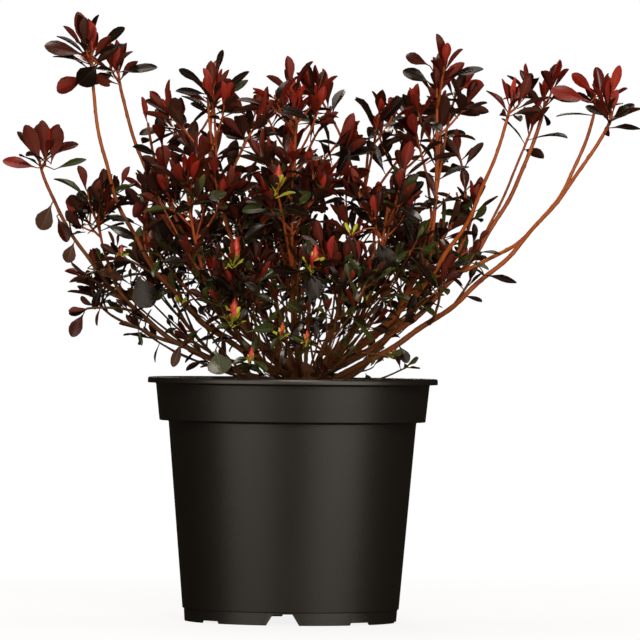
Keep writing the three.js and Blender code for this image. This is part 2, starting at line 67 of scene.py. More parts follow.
# %% [markdown]
# ## Units and chance
#
# The shrub is written in millimetres and turned into metres once, when a mesh is made. A plant
# needs chance, but the same chance each time, so every random number comes from a small
# generator with a fixed seed. It is the same one that the solids were grown with, which lets
# the fine twigs here start on the very stems that the solids have.

# %% Units and seeded draws
MM = 0.001
CLEAR = 0.3  # gap between solids that touch
UP = np.array((0.0, 0.0, 1.0))
ROUND = 2 * math.pi
GOLDEN_ANGLE = math.radians(137.508)
ANY_PHASE = 6.28  # random phases are drawn from 0 to this
SEED = 1019


def seeded(seed):
    """Gives a function that draws numbers from 0 to 1, the same ones each run."""
    state = seed

    def draw():
        nonlocal state
        state = (state * 1664525 + 1013904223) % 2**32
        return state / 2**32

    return draw


def between(draw, low, high):
    return low + (high - low) * draw()


first_draws = seeded(SEED)
print("the first draws are", [round(first_draws(), 3) for _ in range(3)])

# %% [markdown]
# ## The camera
#
# The shrub is seen level from far away, as a catalogue shows a plant: a long lens keeps the
# pot's rim almost a straight line. The camera has a very slight roll, which makes the pot lean
# half a degree.

# %% Camera
CAMERA_AT = (0.021, -5.3, 0.239)
CAMERA_ROLL = 0.0103
SENSOR = 36.0
VIEW_WIDTH = 0.5075  # metres across the picture at the pot's axis
FARTHEST = 60  # metres


def put(name, data):
    """A new object in the scene."""
    made = bpy.data.objects.new(name, data)
    bpy.context.scene.collection.objects.link(made)
    return made


lens = bpy.data.cameras.new("camera")
lens.sensor_width = SENSOR
lens.lens = SENSOR * -CAMERA_AT[1] / VIEW_WIDTH
lens.clip_end = FARTHEST
camera = put("camera", lens)
camera.location = CAMERA_AT
camera.rotation_euler = (math.pi / 2, -CAMERA_ROLL, 0)
bpy.context.scene.camera = camera
print("the lens is", round(lens.lens), "mm long")

# %% [markdown]
# ## Shader maths as plain Python
#
# A material is a network of nodes. Wiring it by hand hides what it works out, so a small class
# wraps an output socket, and +, - and * on it add the Math nodes. A second class holds a tree
# of nodes: its method `node` adds any node from a type, its settings and what goes into its
# sockets. Settings come first, because some of them change which sockets a node has. A third
# one is a material, which is such a tree with a shader at its end.


# %% Sockets with operators
class Value:
    """A number, colour or vector that changes over a surface."""

    def __init__(self, network, socket):
        self.network = network
        self.socket = socket

    def sibling(self, output):
        """Another output of the same node."""
        return Value(self.network, self.socket.node.outputs[output])

    def _maths(self, operation, first, second):
        return self.network.node("ShaderNodeMath", {"operation": operation}, {0: first, 1: second})

    def __add__(self, other):
        return self._maths("ADD", self, other)

    __radd__ = __add__

    def __sub__(self, other):
        return self._maths("SUBTRACT", self, other)

    def __rsub__(self, other):
        return self._maths("SUBTRACT", other, self)

    def __mul__(self, other):
        return self._maths("MULTIPLY", self, other)

    __rmul__ = __mul__


# %% Colours
def linear(red, green, blue):
    """A colour as a screen shows it, from 0 to 255, as the light that it stands for."""
    shares = (c / 255 for c in (red, green, blue))
    light = (s / 12.92 if s <= 0.04045 else ((s + 0.055) / 1.055) ** 2.4 for s in shares)
    return (*light, 1.0)


print("mid grey gives back", round(linear(128, 128, 128)[0], 3), "of the light")


# %% A tree of nodes
MIX = dict(share=0, first=6, second=7, result=2)  # a Mix node's sockets when it mixes colours


class Network:
    """A tree of shader nodes."""

    def __init__(self, tree):
        self.tree = tree

    def node(self, kind, settings=None, inputs=None, output=0):
        made = self.tree.nodes.new(kind)
        for name, value in (settings or {}).items():
            if name == "stops":
                self._set_stops(made.color_ramp, value)
            else:
                setattr(made, name, value)
        for name, value in (inputs or {}).items():
            self.join(value, made.inputs[name])
        return Value(self, made.outputs[output])

    @staticmethod
    def _set_stops(ramp, stops):
        while len(ramp.elements) < len(stops):
            ramp.elements.new(1.0)
        for element, (position, colour) in zip(ramp.elements, stops):
            element.position = position
            element.color = colour

    def join(self, value, socket):
        if isinstance(value, Value):
            self.tree.links.new(value.socket, socket)
        else:
            socket.default_value = value

    def place(self):
        """Where a point of the surface is, in the object's own space."""
        return self.node("ShaderNodeTexCoord", output="Object")

    def noise(self, scale, detail=2.0, stretch=None):
        """A cloudy pattern from 0 to 1."""
        place = self.place()
        if stretch:
            place = self.node("ShaderNodeVectorMath", {"operation": "MULTIPLY"}, {0: place, 1: stretch})
        return self.node("ShaderNodeTexNoise", None, {"Vector": place, "Scale": scale, "Detail": detail})

    def mix(self, share, first, second):
        """A colour between two colours."""
        inputs = {MIX["share"]: share, MIX["first"]: first, MIX["second"]: second}
        return self.node("ShaderNodeMix", {"data_type": "RGBA"}, inputs, output=MIX["result"])

    def rising(self, value, low, high, least=0.0):
        """A share that is at its least where the value is low, and 1 where the value is high."""
        return self.node("ShaderNodeMapRange", None, {0: value, 1: low, 2: high, 3: least})

    def ramp(self, value, *stops):
        """A colour from a row of (place, colour) stops."""
        return self.node("ShaderNodeValToRGB", {"stops": stops}, {0: value})


# %% A material
SHADER_SOCKETS = {
    "colour": "Base Color",
    "roughness": "Roughness",
    "sheen": "Specular IOR Level",
    "normal": "Normal",
}


class Finish(Network):
    """One material, with a Principled shader whose plain values are set straight away."""

    def __init__(self, name, **plain):
        self.material = bpy.data.materials.new(name)
        self.material.use_nodes = True
        super().__init__(self.material.node_tree)
        self.shader = self.tree.nodes["Principled BSDF"]
        self.drive(**plain)

    def drive(self, **links):
        """Sets or links the shader's sockets."""
        for name, value in links.items():
            self.join(value, self.shader.inputs[SHADER_SOCKETS[name]])
        return self

    def bump(self, height, strength, distance):
        """Lets a pattern raise the surface: the strength is a share, the distance in metres."""
        inputs = {"Height": height, "Strength": strength, "Distance": distance}
        return self.drive(normal=self.node("ShaderNodeBump", None, inputs))


# %% [markdown]
# ## Floor and light
#
# The shrub stands on a plain pale floor under soft studio light. The floor turns into the
# white of the background a little way off, so that no horizon cuts through the picture. Sky
# and floor are white to look at, but give the plant next to no light, so that the leaves keep
# the deep shadows between them and the pot stays black towards its edges. Two broad windows
# stand low in front, left and right, and give the pot its two highlights. They reach down
# below the level of the eye, because the pot's wall leans out and mirrors what lies lower. A
# panel high in front is the main light on the leaves, and two weaker ones lift the top and
# the back.

# %% Floor
FLOOR_SIZE = 9.0  # half its width, in metres
FLOOR_CLEAR = 0.28  # metres from the middle to where it starts to whiten
FLOOR_GONE = 1.0  # metres to where it is as white as the background
FLOOR_GLOW = 0.86  # how white it is close to the shrub
WHITE = (1.0, 1.0, 1.0, 1.0)


def make_floor():
    mesh = bpy.data.meshes.new("floor")
    corners = [(x * FLOOR_SIZE, y * FLOOR_SIZE, 0) for x, y in ((-1, -1), (1, -1), (1, 1), (-1, 1))]
    mesh.from_pydata(corners, [], [(0, 1, 2, 3)])
    floor = put("floor", mesh)
    finish = Finish("pale_floor", colour=linear(235, 234, 231), roughness=0.8)
    away = finish.node(
        "ShaderNodeVectorMath", {"operation": "LENGTH"}, {0: finish.place()}, output="Value"
    )
    share = finish.rising(away, FLOOR_CLEAR, FLOOR_GONE, FLOOR_GLOW)
    white = finish.node("ShaderNodeEmission", None, {"Color": WHITE, "Strength": 1.0})
    plain = Value(finish, finish.shader.outputs[0])
    both = finish.node("ShaderNodeMixShader", None, {0: share, 1: plain, 2: white})
    finish.join(both, finish.tree.nodes["Material Output"].inputs["Surface"])
    mesh.materials.append(finish.material)
    floor.visible_diffuse = False
    floor.visible_glossy = False
    floor.visible_shadow = False
    floor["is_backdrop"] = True


make_floor()
print("the floor is laid")

# %% Sky
SKY_FILL = (0.024, 0.018, 0.012, 1.0)  # the light that it gives, dim and warm


def make_sky():
    world = bpy.data.worlds.new("studio")
    world.use_nodes = True
    sky = Network(world.node_tree)
    looked_at = sky.node("ShaderNodeLightPath", output="Is Camera Ray")
    colour = sky.mix(looked_at, SKY_FILL, WHITE)
    sky.join(colour, sky.tree.nodes["Background"].inputs["Color"])
    bpy.context.scene.world = world


make_sky()
bpy.context.scene.view_settings.view_transform = "Standard"
print("the sky fills the shadows at", SKY_FILL[0])

# %% Lamps
# name: (place, width, height, power), all aimed at the middle of the shrub
LAMPS = {
    "left_window": ((-1.41, -1.68, 0.20), 2.0, 1.1, 22),
    "right_window": ((1.48, -1.60, 0.20), 2.0, 1.1, 26),
    "front_panel": ((0.25, -2.90, 1.70), 1.2, 0.9, 92),
    "top_panel": ((-0.10, 0.25, 2.20), 1.4, 1.2, 26),
    "back_panel": ((-0.50, 2.60, 1.90), 1.4, 0.9, 32),
}
LAMP_COLOUR = (1.0, 0.89, 0.77)  # all of them are a little warm
AIM = Vector((0.02, 0.0, 0.27))


def make_lamp(name, place, width, height, power):
    light = bpy.data.lights.new(name, "AREA")
    light.shape = "RECTANGLE"
    light.size = width
    light.size_y = height
    light.energy = power
    light.color = LAMP_COLOUR
    lamp = put(name, light)
    lamp.location = place
    lamp.rotation_euler = (AIM - Vector(place)).to_track_quat("-Z", "Y").to_euler()


for name, settings in LAMPS.items():
    make_lamp(name, *settings)
print(len(LAMPS), "lamps light the shrub")

# %% [markdown]
# ## One mesh from many small parts
#
# A shrub has thousands of leaves. One object for each would be slow and hard to pass on, so
# the corners and faces of many small parts are gathered as arrays, and one mesh is made of
# them. The collector also takes which material each face wears.


# %% The collector
class Gathered:
    """Corners and faces of many small parts, in millimetres, for one mesh."""

    def __init__(self):
        self.points = []
        self.faces = []
        self.tints = []
        self.count = 0

    def add(self, points, *groups):
        """Adds corners, and groups of faces on them.

        A group is an array with a row for each face, and its tint: one number, or one for
        each face."""
        points = np.asarray(points, float).reshape(-1, 3)
        for faces, tint in groups:
            self.faces.append(faces + self.count)
            self.tints.append(np.broadcast_to(tint, len(faces)))
        self.points.append(points)
        self.count += len(points)

    def triangles(self):
        return sum(faces.shape[0] * (faces.shape[1] - 2) for faces in self.faces)

    def build(self, name, materials, crease=None):
        mesh = bpy.data.meshes.new(name)
        points = np.concatenate(self.points) * MM
        corners = np.concatenate([faces.ravel() for faces in self.faces])
        sizes = np.concatenate([np.full(len(faces), faces.shape[1]) for faces in self.faces])
        mesh.vertices.add(len(points))
        mesh.vertices.foreach_set("co", points.ravel())
        mesh.loops.add(len(corners))
        mesh.loops.foreach_set("vertex_index", corners.astype(np.int32))
        mesh.polygons.add(len(sizes))
        mesh.polygons.foreach_set("loop_start", (np.cumsum(sizes) - sizes).astype(np.int32))
        mesh.polygons.foreach_set("material_index", np.concatenate(self.tints).astype(np.int32))
        mesh.update(calc_edges=True)
        for material in materials:
            mesh.materials.append(material)
        mesh.shade_smooth()
        if crease:
            mesh.set_sharp_from_angle(angle=math.radians(crease))
        print(name, "has", self.triangles(), "triangles")
        return put(name, mesh)


# %% Directions and faces
def unit(vectors):
    return vectors / np.linalg.norm(vectors, axis=-1, keepdims=True)


def outward(turn):
    """The level direction at a turn round the upright."""
    return np.array((math.cos(turn), math.sin(turn), 0.0))


def leaning(axis, turn, tilt):
    """A direction that leans from an axis by a tilt, at a turn round it."""
    first = unit(np.cross(axis, UP if abs(axis[2]) < 0.9 else (1.0, 0.0, 0.0)))
    second = np.cross(axis, first)
    sideways = first * math.cos(turn) + second * math.sin(turn)
    return axis * math.cos(tilt) + sideways * math.sin(tilt)


def ring_faces(rings, sides):
    """Quads between rings of corners that follow each other."""
    ring, side = np.mgrid[0 : rings - 1, 0:sides]
    here = ring * sides + side
    beside = ring * sides + (side + 1) % sides
    return np.stack([here, beside, beside + sides, here + sides], -1).reshape(-1, 4)


def fan_faces(start, sides, middle, flip):
    """Triangles from a ring of corners to one corner in its middle."""
    here = start + np.arange(sides)
    beside = start + (np.arange(sides) + 1) % sides
    pair = (beside, here) if flip else (here, beside)
    return np.stack([*pair, np.full(sides, middle)], -1)


def closed_tube(rings, sides, tint=0, flip=False):
    """The faces of a tube and of a fan over each end. The fans' middles are its last corners."""
    count = rings * sides
    wall = ring_faces(rings, sides)
    if flip:
        wall = wall[:, ::-1]
    first = fan_faces(0, sides, count, not flip)
    last = fan_faces(count - sides, sides, count + 1, flip)
    return [(faces, tint) for faces in (wall, first, last)]


# %% [markdown]
# ## The pot
#
# The pot is moulded from black plastic: a turned shape with a lip, a band under it, a tapered
# wall, and a foot ring that is cut through by channels and shallow scallops so that water can
# drain away. A turned mesh gives it smooth rounds. Each corner of its outline is rounded a
# little, because moulded plastic has no sharp edge and the light picks that up. The cuts are
# real ones, made by a Boolean modifier that is then applied.

# %% The pot's sizes
POT = dict(
    height=193.0,
    rim=115.0,
    lip=4.7,
    band_top=108.6,
    band_foot=105.5,
    band_under=158.6,
    wall_top=98.3,
    wall_foot=85.8,
    foot=84.2,
    foot_step=10.0,
    thick=1.8,
    floor=9.0,
    floor_thick=2.5,
)
Cuts = namedtuple("Cuts", "count wide narrow height start")
CHANNELS = Cuts(4, 26.0, 15.3, 8.8, -94.0)
SCALLOPS = Cuts(4, 21.0, 19.0, 2.0, -49.0)
CUT_REACH = 12.0  # how far a cut reaches to either side of the foot ring's outside
CUT_BELOW = 1.0  # and how far below it
DRAIN = dict(count=8, radius=4.5, circle=72.0, start=-71.5, below=3.0, above=5.0, sides=24)
POT_SIDES = 180
POT_CREASE = 40  # degrees


# %% Turning
def rounded(outline, steps=4):
    """An outline of (radius, height, rounding) with an arc at each corner that has a rounding."""
    corners = np.array([(r, z) for r, z, _ in outline], float)
    points = []
    for i, (r, z, rounding) in enumerate(outline):
        if not rounding:
            points.append((r, z))
            continue
        here = corners[i]
        before = here + unit(corners[i - 1] - here) * rounding
        after = here + unit(corners[i + 1] - here) * rounding
        for t in np.linspace(0, 1, steps + 1):
            points.append(tuple((1 - t) ** 2 * before + 2 * t * (1 - t) * here + t**2 * after))
    return points


def turned(profile, sides, shape=None):
    """A closed turned body. Its profile runs from the axis back to the axis, outside first."""
    radii, heights = np.array(profile[1:-1]).T
    angles = np.linspace(0, ROUND, sides, endpoint=False)
    rings = np.empty((len(radii), sides, 3))
    rings[..., 0] = radii[:, None] * np.cos(angles)
    rings[..., 1] = radii[:, None] * np.sin(angles)
    rings[..., 2] = heights[:, None]
    if shape is not None:
        rings = shape(rings)
    body = Gathered()
    ends = [(0, 0, profile[0][1]), (0, 0, profile[-1][1])]
    body.add(np.concatenate([rings.reshape(-1, 3), ends]), *closed_tube(len(radii), sides))
    return body


def pot_profile():
    p = POT
    thick, floor = p["thick"], p["floor"]
    inside = floor + p["floor_thick"]
    return rounded(
        [
            (0, floor, 0),
            (p["foot"] - thick - 1, floor, 0.8),
            (p["foot"] - thick, 0, 0.5),
            (p["foot"], 0, 0.5),
            (p["foot"] + 0.4, p["foot_step"], 0.15),
            (p["wall_foot"], p["foot_step"] + 0.3, 0.3),
            (p["wall_top"], p["band_under"], 1.6),
            (p["band_foot"], p["band_under"], 0.9),
            (p["band_top"], p["height"] - p["lip"], 1.4),
            (p["rim"], p["height"] - p["lip"], 0.7),
            (p["rim"], p["height"], 1.9),
            (p["band_top"] - thick, p["height"], 1.2),
            (p["band_foot"] - thick, p["band_under"] + thick, 0.9),
            (p["wall_top"] - thick, p["band_under"] + thick, 0.8),
            (p["wall_foot"] - thick, inside, 0.8),
            (0, inside, 0),
        ]
    )


# %% Cutting
def prism(near, far, name):
    """A tool for cutting, between two loops of corners in millimetres."""
    count = len(near)
    sides = [(i, (i + 1) % count, count + (i + 1) % count, count + i) for i in range(count)]
    caps = [tuple(range(count))[::-1], tuple(range(count, 2 * count))]
    mesh = bpy.data.meshes.new(name)
    mesh.from_pydata([tuple(corner * MM) for corner in (*near, *far)], [], [*caps, *sides])
    return put(name, mesh)


def foot_cut(cuts, index):
    """A tapered bar that reaches through the foot ring from outside."""
    angle = math.radians(cuts.start + index * 360 / cuts.count)
    ahead, aside = outward(angle), outward(angle + math.pi / 2)
    flare = (cuts.wide - cuts.narrow) * CUT_BELOW / cuts.height
    low, high = (cuts.wide + flare) / 2, cuts.narrow / 2
    section = ((-low, -CUT_BELOW), (low, -CUT_BELOW), (high, cuts.height), (-high, cuts.height))
    loops = [
        [ahead * out + aside * across + UP * z for across, z in section]
        for out in (POT["foot"] - CUT_REACH, POT["foot"] + CUT_REACH)
    ]
    return prism(*loops, "foot_cut")


def drain_hole(index):
    middle = outward(math.radians(DRAIN["start"] + index * 360 / DRAIN["count"])) * DRAIN["circle"]
    turns = np.linspace(0, ROUND, DRAIN["sides"], endpoint=False)
    loops = [
        [middle + outward(turn) * DRAIN["radius"] + UP * z for turn in turns]
        for z in (POT["floor"] - DRAIN["below"], POT["floor"] + DRAIN["above"])
    ]
    return prism(*loops, "drain_hole")


def cut_away(piece, tools):
    """Cuts the tools out of the piece for good, and takes the tools away."""
    group = bpy.data.collections.new("tools")
    bpy.context.scene.collection.children.link(group)
    for tool in tools:
        group.objects.link(tool)
    cutter = piece.modifiers.new("cut", "BOOLEAN")
    cutter.operand_type = "COLLECTION"
    cutter.collection = group
    cutter.solver = "EXACT"
    after = piece.evaluated_get(bpy.context.evaluated_depsgraph_get())
    result = bpy.data.meshes.new_from_object(after)
    piece.modifiers.clear()
    piece.data = result
    for tool in tools:
        bpy.data.objects.remove(tool)
    bpy.data.collections.remove(group)


# %% Black moulded plastic
def plastic():
    finish = Finish("black_plastic", sheen=0.5)
    haze = finish.noise(9.0, 3.0, (1.0, 1.0, 0.45))
    grain = finish.noise(900.0, 2.0)
    tone = finish.mix(haze, linear(15, 14, 12), linear(23, 21, 19))
    finish.drive(colour=tone, roughness=0.31 + haze * 0.14)
    return finish.bump(grain, 0.25, 0.0002).material


def make_pot():
    pot = turned(pot_profile(), POT_SIDES).build("nursery_pot", [plastic()], POT_CREASE)
    cuts = [foot_cut(kind, i) for kind in (CHANNELS, SCALLOPS) for i in range(kind.count)]
    cuts += [drain_hole(i) for i in range(DRAIN["count"])]
    cut_away(pot, cuts)
    pot.data.set_sharp_from_angle(angle=math.radians(POT_CREASE))
    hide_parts("pot")
    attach(pot, "root")
    return pot


pot = make_pot()
print("the pot measures", [round(side / MM) for side in pot.dimensions], "mm")

# %% [markdown]
# ## The compost
#
# Potting compost is a loose, dark, crumbly peat. From above it shows between the stems, so it
# is a turned body with an uneven top, strewn with crumbs and a few paler bits of bark. Each
# crumb is a little eight-sided lump, pushed out of shape and sunk in the surface.

# %% Compost sizes
SOIL_TOP = 176.0
SOIL_EDGE = 103.0
SOIL_GAP = 0.4  # kept from the pot's inside
SOIL_RINGS = 34
SOIL_SIDES = 96
CRUMBS = 900
PALE_CRUMBS = 0.12  # share of the crumbs that are bits of bark
CRUMB_SIDES = ((0.6, 1.4), (0.5, 1.2), (0.35, 0.8))  # how much it is stretched each way
CRUMB_PUSH = 0.6  # how much its corners are pulled about
CRUMB_SIZE = dict(least=0.7, more=2.1, rare=3)  # large ones are rare
CRUMB_SPREAD = 0.985  # share of the surface's radius that they lie on


def soil_height(x, y):
    """How far the surface stands above or below its mean height."""
    slow = 1.1 * np.sin(x * 0.11 + 1.3) * np.cos(y * 0.09)
    fast = 0.5 * np.sin(x * 0.37 + y * 0.21) + 0.4 * np.cos(y * 0.43 - x * 0.17 + 0.5)
    away = np.hypot(x, y) / SOIL_EDGE
    return (slow + fast) * np.clip(1.3 - away, 0, 1) - 1.6 * away**4 - 0.9


# %% Compost
def soil_body():
    inside = POT["thick"] + SOIL_GAP
    floor = POT["floor"] + POT["floor_thick"] + SOIL_GAP
    ledge = POT["band_under"] + inside
    profile = [
        (0, floor),
        (POT["wall_foot"] - inside, floor),
        (POT["wall_top"] - inside, ledge),
        (POT["band_foot"] - inside, ledge),
        (POT["band_foot"] - inside + 1, SOIL_TOP - 4),
    ]
    profile += [(r, SOIL_TOP) for r in np.linspace(SOIL_EDGE, 3, SOIL_RINGS)]
    profile.append((0, SOIL_TOP - 1))

    def uneven(rings):
        top = rings[..., 2] == SOIL_TOP
        rings[..., 2] += np.where(top, soil_height(rings[..., 0], rings[..., 1]), 0)
        return rings

    return turned(profile, SOIL_SIDES, uneven)


OCTAHEDRON = np.array([(1, 0, 0), (0, 1, 0), (-1, 0, 0), (0, -1, 0), (0, 0, 1), (0, 0, -1)], float)
UPPER_FACES = [(i, (i + 1) % 4, 4) for i in range(4)]
LOWER_FACES = [((i + 1) % 4, i, 5) for i in range(4)]
CRUMB_FACES = np.array(UPPER_FACES + LOWER_FACES)


def crumb(draw, size):
    """An octahedron with its corners pulled about."""
    stretch = [between(draw, *side) for side in CRUMB_SIDES]
    push = np.array([[draw() - 0.5 for _ in range(3)] for _ in OCTAHEDRON]) * CRUMB_PUSH
    turn = between(draw, 0, ROUND)
    spin = np.array((outward(turn), outward(turn + math.pi / 2), UP))
    return ((OCTAHEDRON + push) * stretch) @ spin * size


def strew(body, draw):
    for _ in range(CRUMBS):
        away = SOIL_EDGE * math.sqrt(draw()) * CRUMB_SPREAD
        x, y, _ = away * outward(between(draw, 0, ROUND))
        size = CRUMB_SIZE["least"] + CRUMB_SIZE["more"] * draw() ** CRUMB_SIZE["rare"]
        z = SOIL_TOP + soil_height(x, y) + 0.15 * size
        pale = 1 if draw() < PALE_CRUMBS else 0
        body.add(crumb(draw, size) + (x, y, z), (CRUMB_FACES, pale))


# %% Peat
def peat(name, dark, light):
    finish = Finish(name, roughness=1.0)
    grain = finish.noise(420.0, 6.0)
    tone = finish.ramp(grain, (0.32, dark), (0.68, light))
    return finish.drive(colour=tone).bump(grain, 0.9, 0.0012).material


def make_compost():
    body = soil_body()
    strew(body, seeded(SEED))
    finishes = [
        peat("dark_peat", linear(24, 17, 12), linear(58, 42, 30)),
        peat("bark_bits", linear(70, 46, 28), linear(118, 84, 54)),
    ]
    compost = body.build("compost", finishes, crease=50)
    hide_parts("root_ball")
    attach(compost, "root")


make_compost()

# %% [markdown]
# ## Limbs
#
# The stems rise from one squat root crown, lie low at first and then turn up to the light. The
# table below repeats the driving sizes of the solids, so each limb runs through the very place
# of its solid: a quadratic curve from the root crown, or from the limb that carries it, to its
# tip. Compass is the way it leans, start how high it leaves the crown (or how far along its
# carrier), reach and top where it ends, and bow how far it hangs below a straight line.

# %% The limbs' sizes
CROWN = dict(x=8.0, y=0.0, foot=176.3, height=30.0, flare=30.0, neck=18.0)
Limb = namedtuple("Limb", "name compass start reach top bow foot tip carrier", defaults=(None,))
LIMBS = (
    Limb("far_left", 182, 10, 205, 345, 33, 3.7, 1.9),
    Limb("top_left", 195, 17, 173, 420, 42, 3.7, 1.9),
    Limb("top_left_inner", 154, 17, 165, 420, 24, 3.5, 1.9),
    Limb("left_shoulder", 166, 22, 116, 342, 12, 3.3, 1.8),
    Limb("left_crest", 209, 22, 78, 345, 9, 3.2, 1.9),
    Limb("middle_crest", 245, 22, 20, 345, 4, 3.2, 1.9),
    Limb("middle_right_crest", 24, 22, 50, 330, 6, 3.2, 1.9),
    Limb("right_crest", 344, 22, 108, 350, 30, 3.8, 2.1),
    Limb("right_arm_inner", 333, 16, 177, 398, 28, 3.9, 1.8),
    Limb("right_arm", 20, 16, 201, 402, 33, 3.9, 2.2),
    Limb("far_right_upper", 7, 0.48, 229, 396, 30, 2.4, 1.9, "right_arm_inner"),
    Limb("far_right_lower", 353, 9, 237, 388, 24, 3.9, 2.0),
    Limb("front_middle", 265, 18, 104, 280, 20, 3.3, 1.8),
    Limb("front_left", 225, 18, 112, 278, 18, 3.3, 1.8),
    Limb("front_right", 303, 18, 104, 278, 16, 3.3, 1.8),
    Limb("back_left", 134, 20, 118, 325, 18, 3.4, 1.8),
    Limb("back_middle", 96, 18, 110, 335, 20, 3.4, 1.9),
    Limb("back_right", 50, 20, 116, 325, 18, 3.4, 1.8),
    Limb("heart", 150, 23, 26, 255, 1, 2.6, 1.8),
    Limb("left_middle", 188, 0.5, 160, 293, 5, 2.2, 1.5, "far_left"),
    Limb("left_low", 174, 0.36, 152, 240, 2, 2.2, 1.5, "far_left"),
    Limb("right_middle", 352, 0.52, 126, 300, 6, 2.2, 1.5, "right_crest"),
    Limb("right_low", 340, 0.34, 112, 250, 2, 2.2, 1.5, "far_right_lower"),
    Limb("back_low_left", 150, 9, 116, 246, 16, 3.0, 1.7),
    Limb("back_low_right", 36, 9, 92, 240, 14, 3.0, 1.7),
    Limb("back_low", 88, 9, 116, 236, 14, 3.0, 1.7),
    Limb("front_low_left", 245, 9, 98, 228, 10, 2.8, 1.6),
    Limb("front_low_right", 284, 9, 98, 230, 10, 2.8, 1.6),
)


# %% A bend, measured along its own length
class Bend:
    """A quadratic curve. A share of 0 is its start and 1 its end, by length."""

    def __init__(self, start, middle, end):
        self.start, self.middle, self.end = start, middle, end
        self.times = np.linspace(0, 1, 201)
        steps = np.linalg.norm(np.diff(self._place(self.times), axis=0), axis=1)
        self.marks = np.concatenate([[0], np.cumsum(steps)])
        self.length = self.marks[-1]
        plane = np.cross(middle - start, end - middle)
        straight = np.linalg.norm(plane) < 1e-6 * self.length**2
        self.plane = leaning(unit(end - start), 0, math.pi / 2) if straight else unit(plane)

    def _place(self, times):
        t = np.asarray(times, float)[..., None]
        return (1 - t) ** 2 * self.start + 2 * t * (1 - t) * self.middle + t**2 * self.end

    def _time(self, share):
        return np.interp(np.asarray(share) * self.length, self.marks, self.times)

    def at(self, share):
        return self._place(self._time(share))

    def along(self, share):
        t = self._time(share)[..., None]
        return unit((1 - t) * (self.middle - self.start) + t * (self.end - self.middle))

    def up_to(self, share):
        """The first part of the bend."""
        t = float(self._time(share))
        return Bend(self.start, self.start + (self.middle - self.start) * t, self._place(t))


# %% Where each limb runs
CROWN_AXIS = np.array((CROWN["x"], CROWN["y"], 0.0))


def limb_bend(limb, bends):
    way = outward(math.radians(limb.compass))
    tip = CROWN_AXIS + way * limb.reach + UP * limb.top
    if limb.carrier:
        root = bends[limb.carrier].at(limb.start)
    else:
        root = CROWN_AXIS + way * CROWN["neck"] / 2 + UP * (CROWN["foot"] + limb.start)
    chord = tip - root
    level = np.array((chord[0], chord[1], 0.0))
    hang = unit(unit(level) * chord[2] - UP * np.linalg.norm(level))
    return Bend(root, (root + tip) / 2 + hang * 2 * limb.bow, tip)


bends = {}
for limb in LIMBS:
    bends[limb.name] = limb_bend(limb, bends)
print("the longest limb is", round(max(b.length for b in bends.values())), "mm long")

# %% [markdown]
# ### Bark
#
# A tube swept along each curve is the quickest way to a stem, and its rings can carry the
# bark's relief as real shape. A young stem is knobbly: each fallen leaf leaves a small raised
# scar, and the scars climb the stem in a spiral. So every ring's radius is pushed out where a
# scar sits, shaken a little by slow waves, and swollen where the limb leaves the crown. The
# solids' limbs are a little stout, so the bark follows them at seven tenths of their radius.


# %% Tubes with relief
SWAY_LENGTH = 60  # mm of stem for one sway to and fro
CROSS_SWAY = 4.4  # it sways a little slower the other way, so that the two never fall together
CAP = 0.6  # how far a tube's end is domed, as a share of its radius


def sweep(body, bend, radius_at, sides, spacing, relief=None, sway=0.0, phase=0.0, tint=0):
    """Adds a closed tube along a bend. Relief gives a push for each ring and side."""
    rings = max(3, round(bend.length / spacing) + 1)
    shares = np.linspace(0, 1, rings)
    middles, ways = bend.at(shares), bend.along(shares)
    first = np.cross(ways, bend.plane)
    second = np.broadcast_to(bend.plane, first.shape)
    if sway:
        calm = np.sin(np.pi * shares) * sway  # it keeps its ends in place
        wave = bend.length / SWAY_LENGTH
        middles = middles + first * (calm * np.sin(ROUND * wave * shares + phase))[:, None]
        middles = middles + second * (calm * np.cos(CROSS_SWAY * wave * shares + 2 * phase))[:, None]
    angles = np.linspace(0, ROUND, sides, endpoint=False)
    radii = np.repeat(radius_at(shares)[:, None], sides, 1)
    if relief is not None:
        radii = radii + relief(shares * bend.length, angles, radii)
    spokes = first[:, None] * np.cos(angles)[None, :, None]
    spokes = spokes + second[:, None] * np.sin(angles)[None, :, None]
    points = (middles[:, None] + spokes * radii[..., None]).reshape(-1, 3)
    ends = np.stack([middles[0], middles[-1] + ways[-1] * radii[-1].mean() * CAP])
    body.add(np.concatenate([points, ends]), *closed_tube(rings, sides, tint, flip=True))


# waves that wind round a stem: (height as a share of the radius, turns along, turns round, phase)
SLOW_WAVES = ((0.035, 0.45, 2, 1), (0.03, 1.1, -3, 2))


def scars(draw, apart, height, across=1.3):
    """Relief of leaf scars that climb a stem in a spiral."""
    offset = between(draw, 0, apart)
    turn, phase = between(draw, 0, ANY_PHASE), between(draw, 0, ANY_PHASE)

    def relief(travel, angles, radii):
        push = np.zeros_like(radii)
        for share, pitch, lobes, ahead in SLOW_WAVES:
            wave = np.sin(travel[:, None] * pitch + angles[None] * lobes + ahead * phase)
            push += share * radii * wave
        for k, mark in enumerate(np.arange(offset, travel[-1], apart)):
            near = np.exp(-(((travel - mark) / across) ** 2))[:, None]
            facing = np.clip(np.cos(angles - turn - k * GOLDEN_ANGLE), 0, 1)[None] ** 2
            push += height * near * facing
        return push

    return relief


# %% The root crown
CROWN_SIDES = 90
CROWN_MARKS = 46
BUTTRESSES = dict(count=5, deep=0.16, high=12.0)  # the roots that flare out round its foot
FURROWS = dict(count=13, deep=0.035, lean=0.3)  # the fine ones that run up it


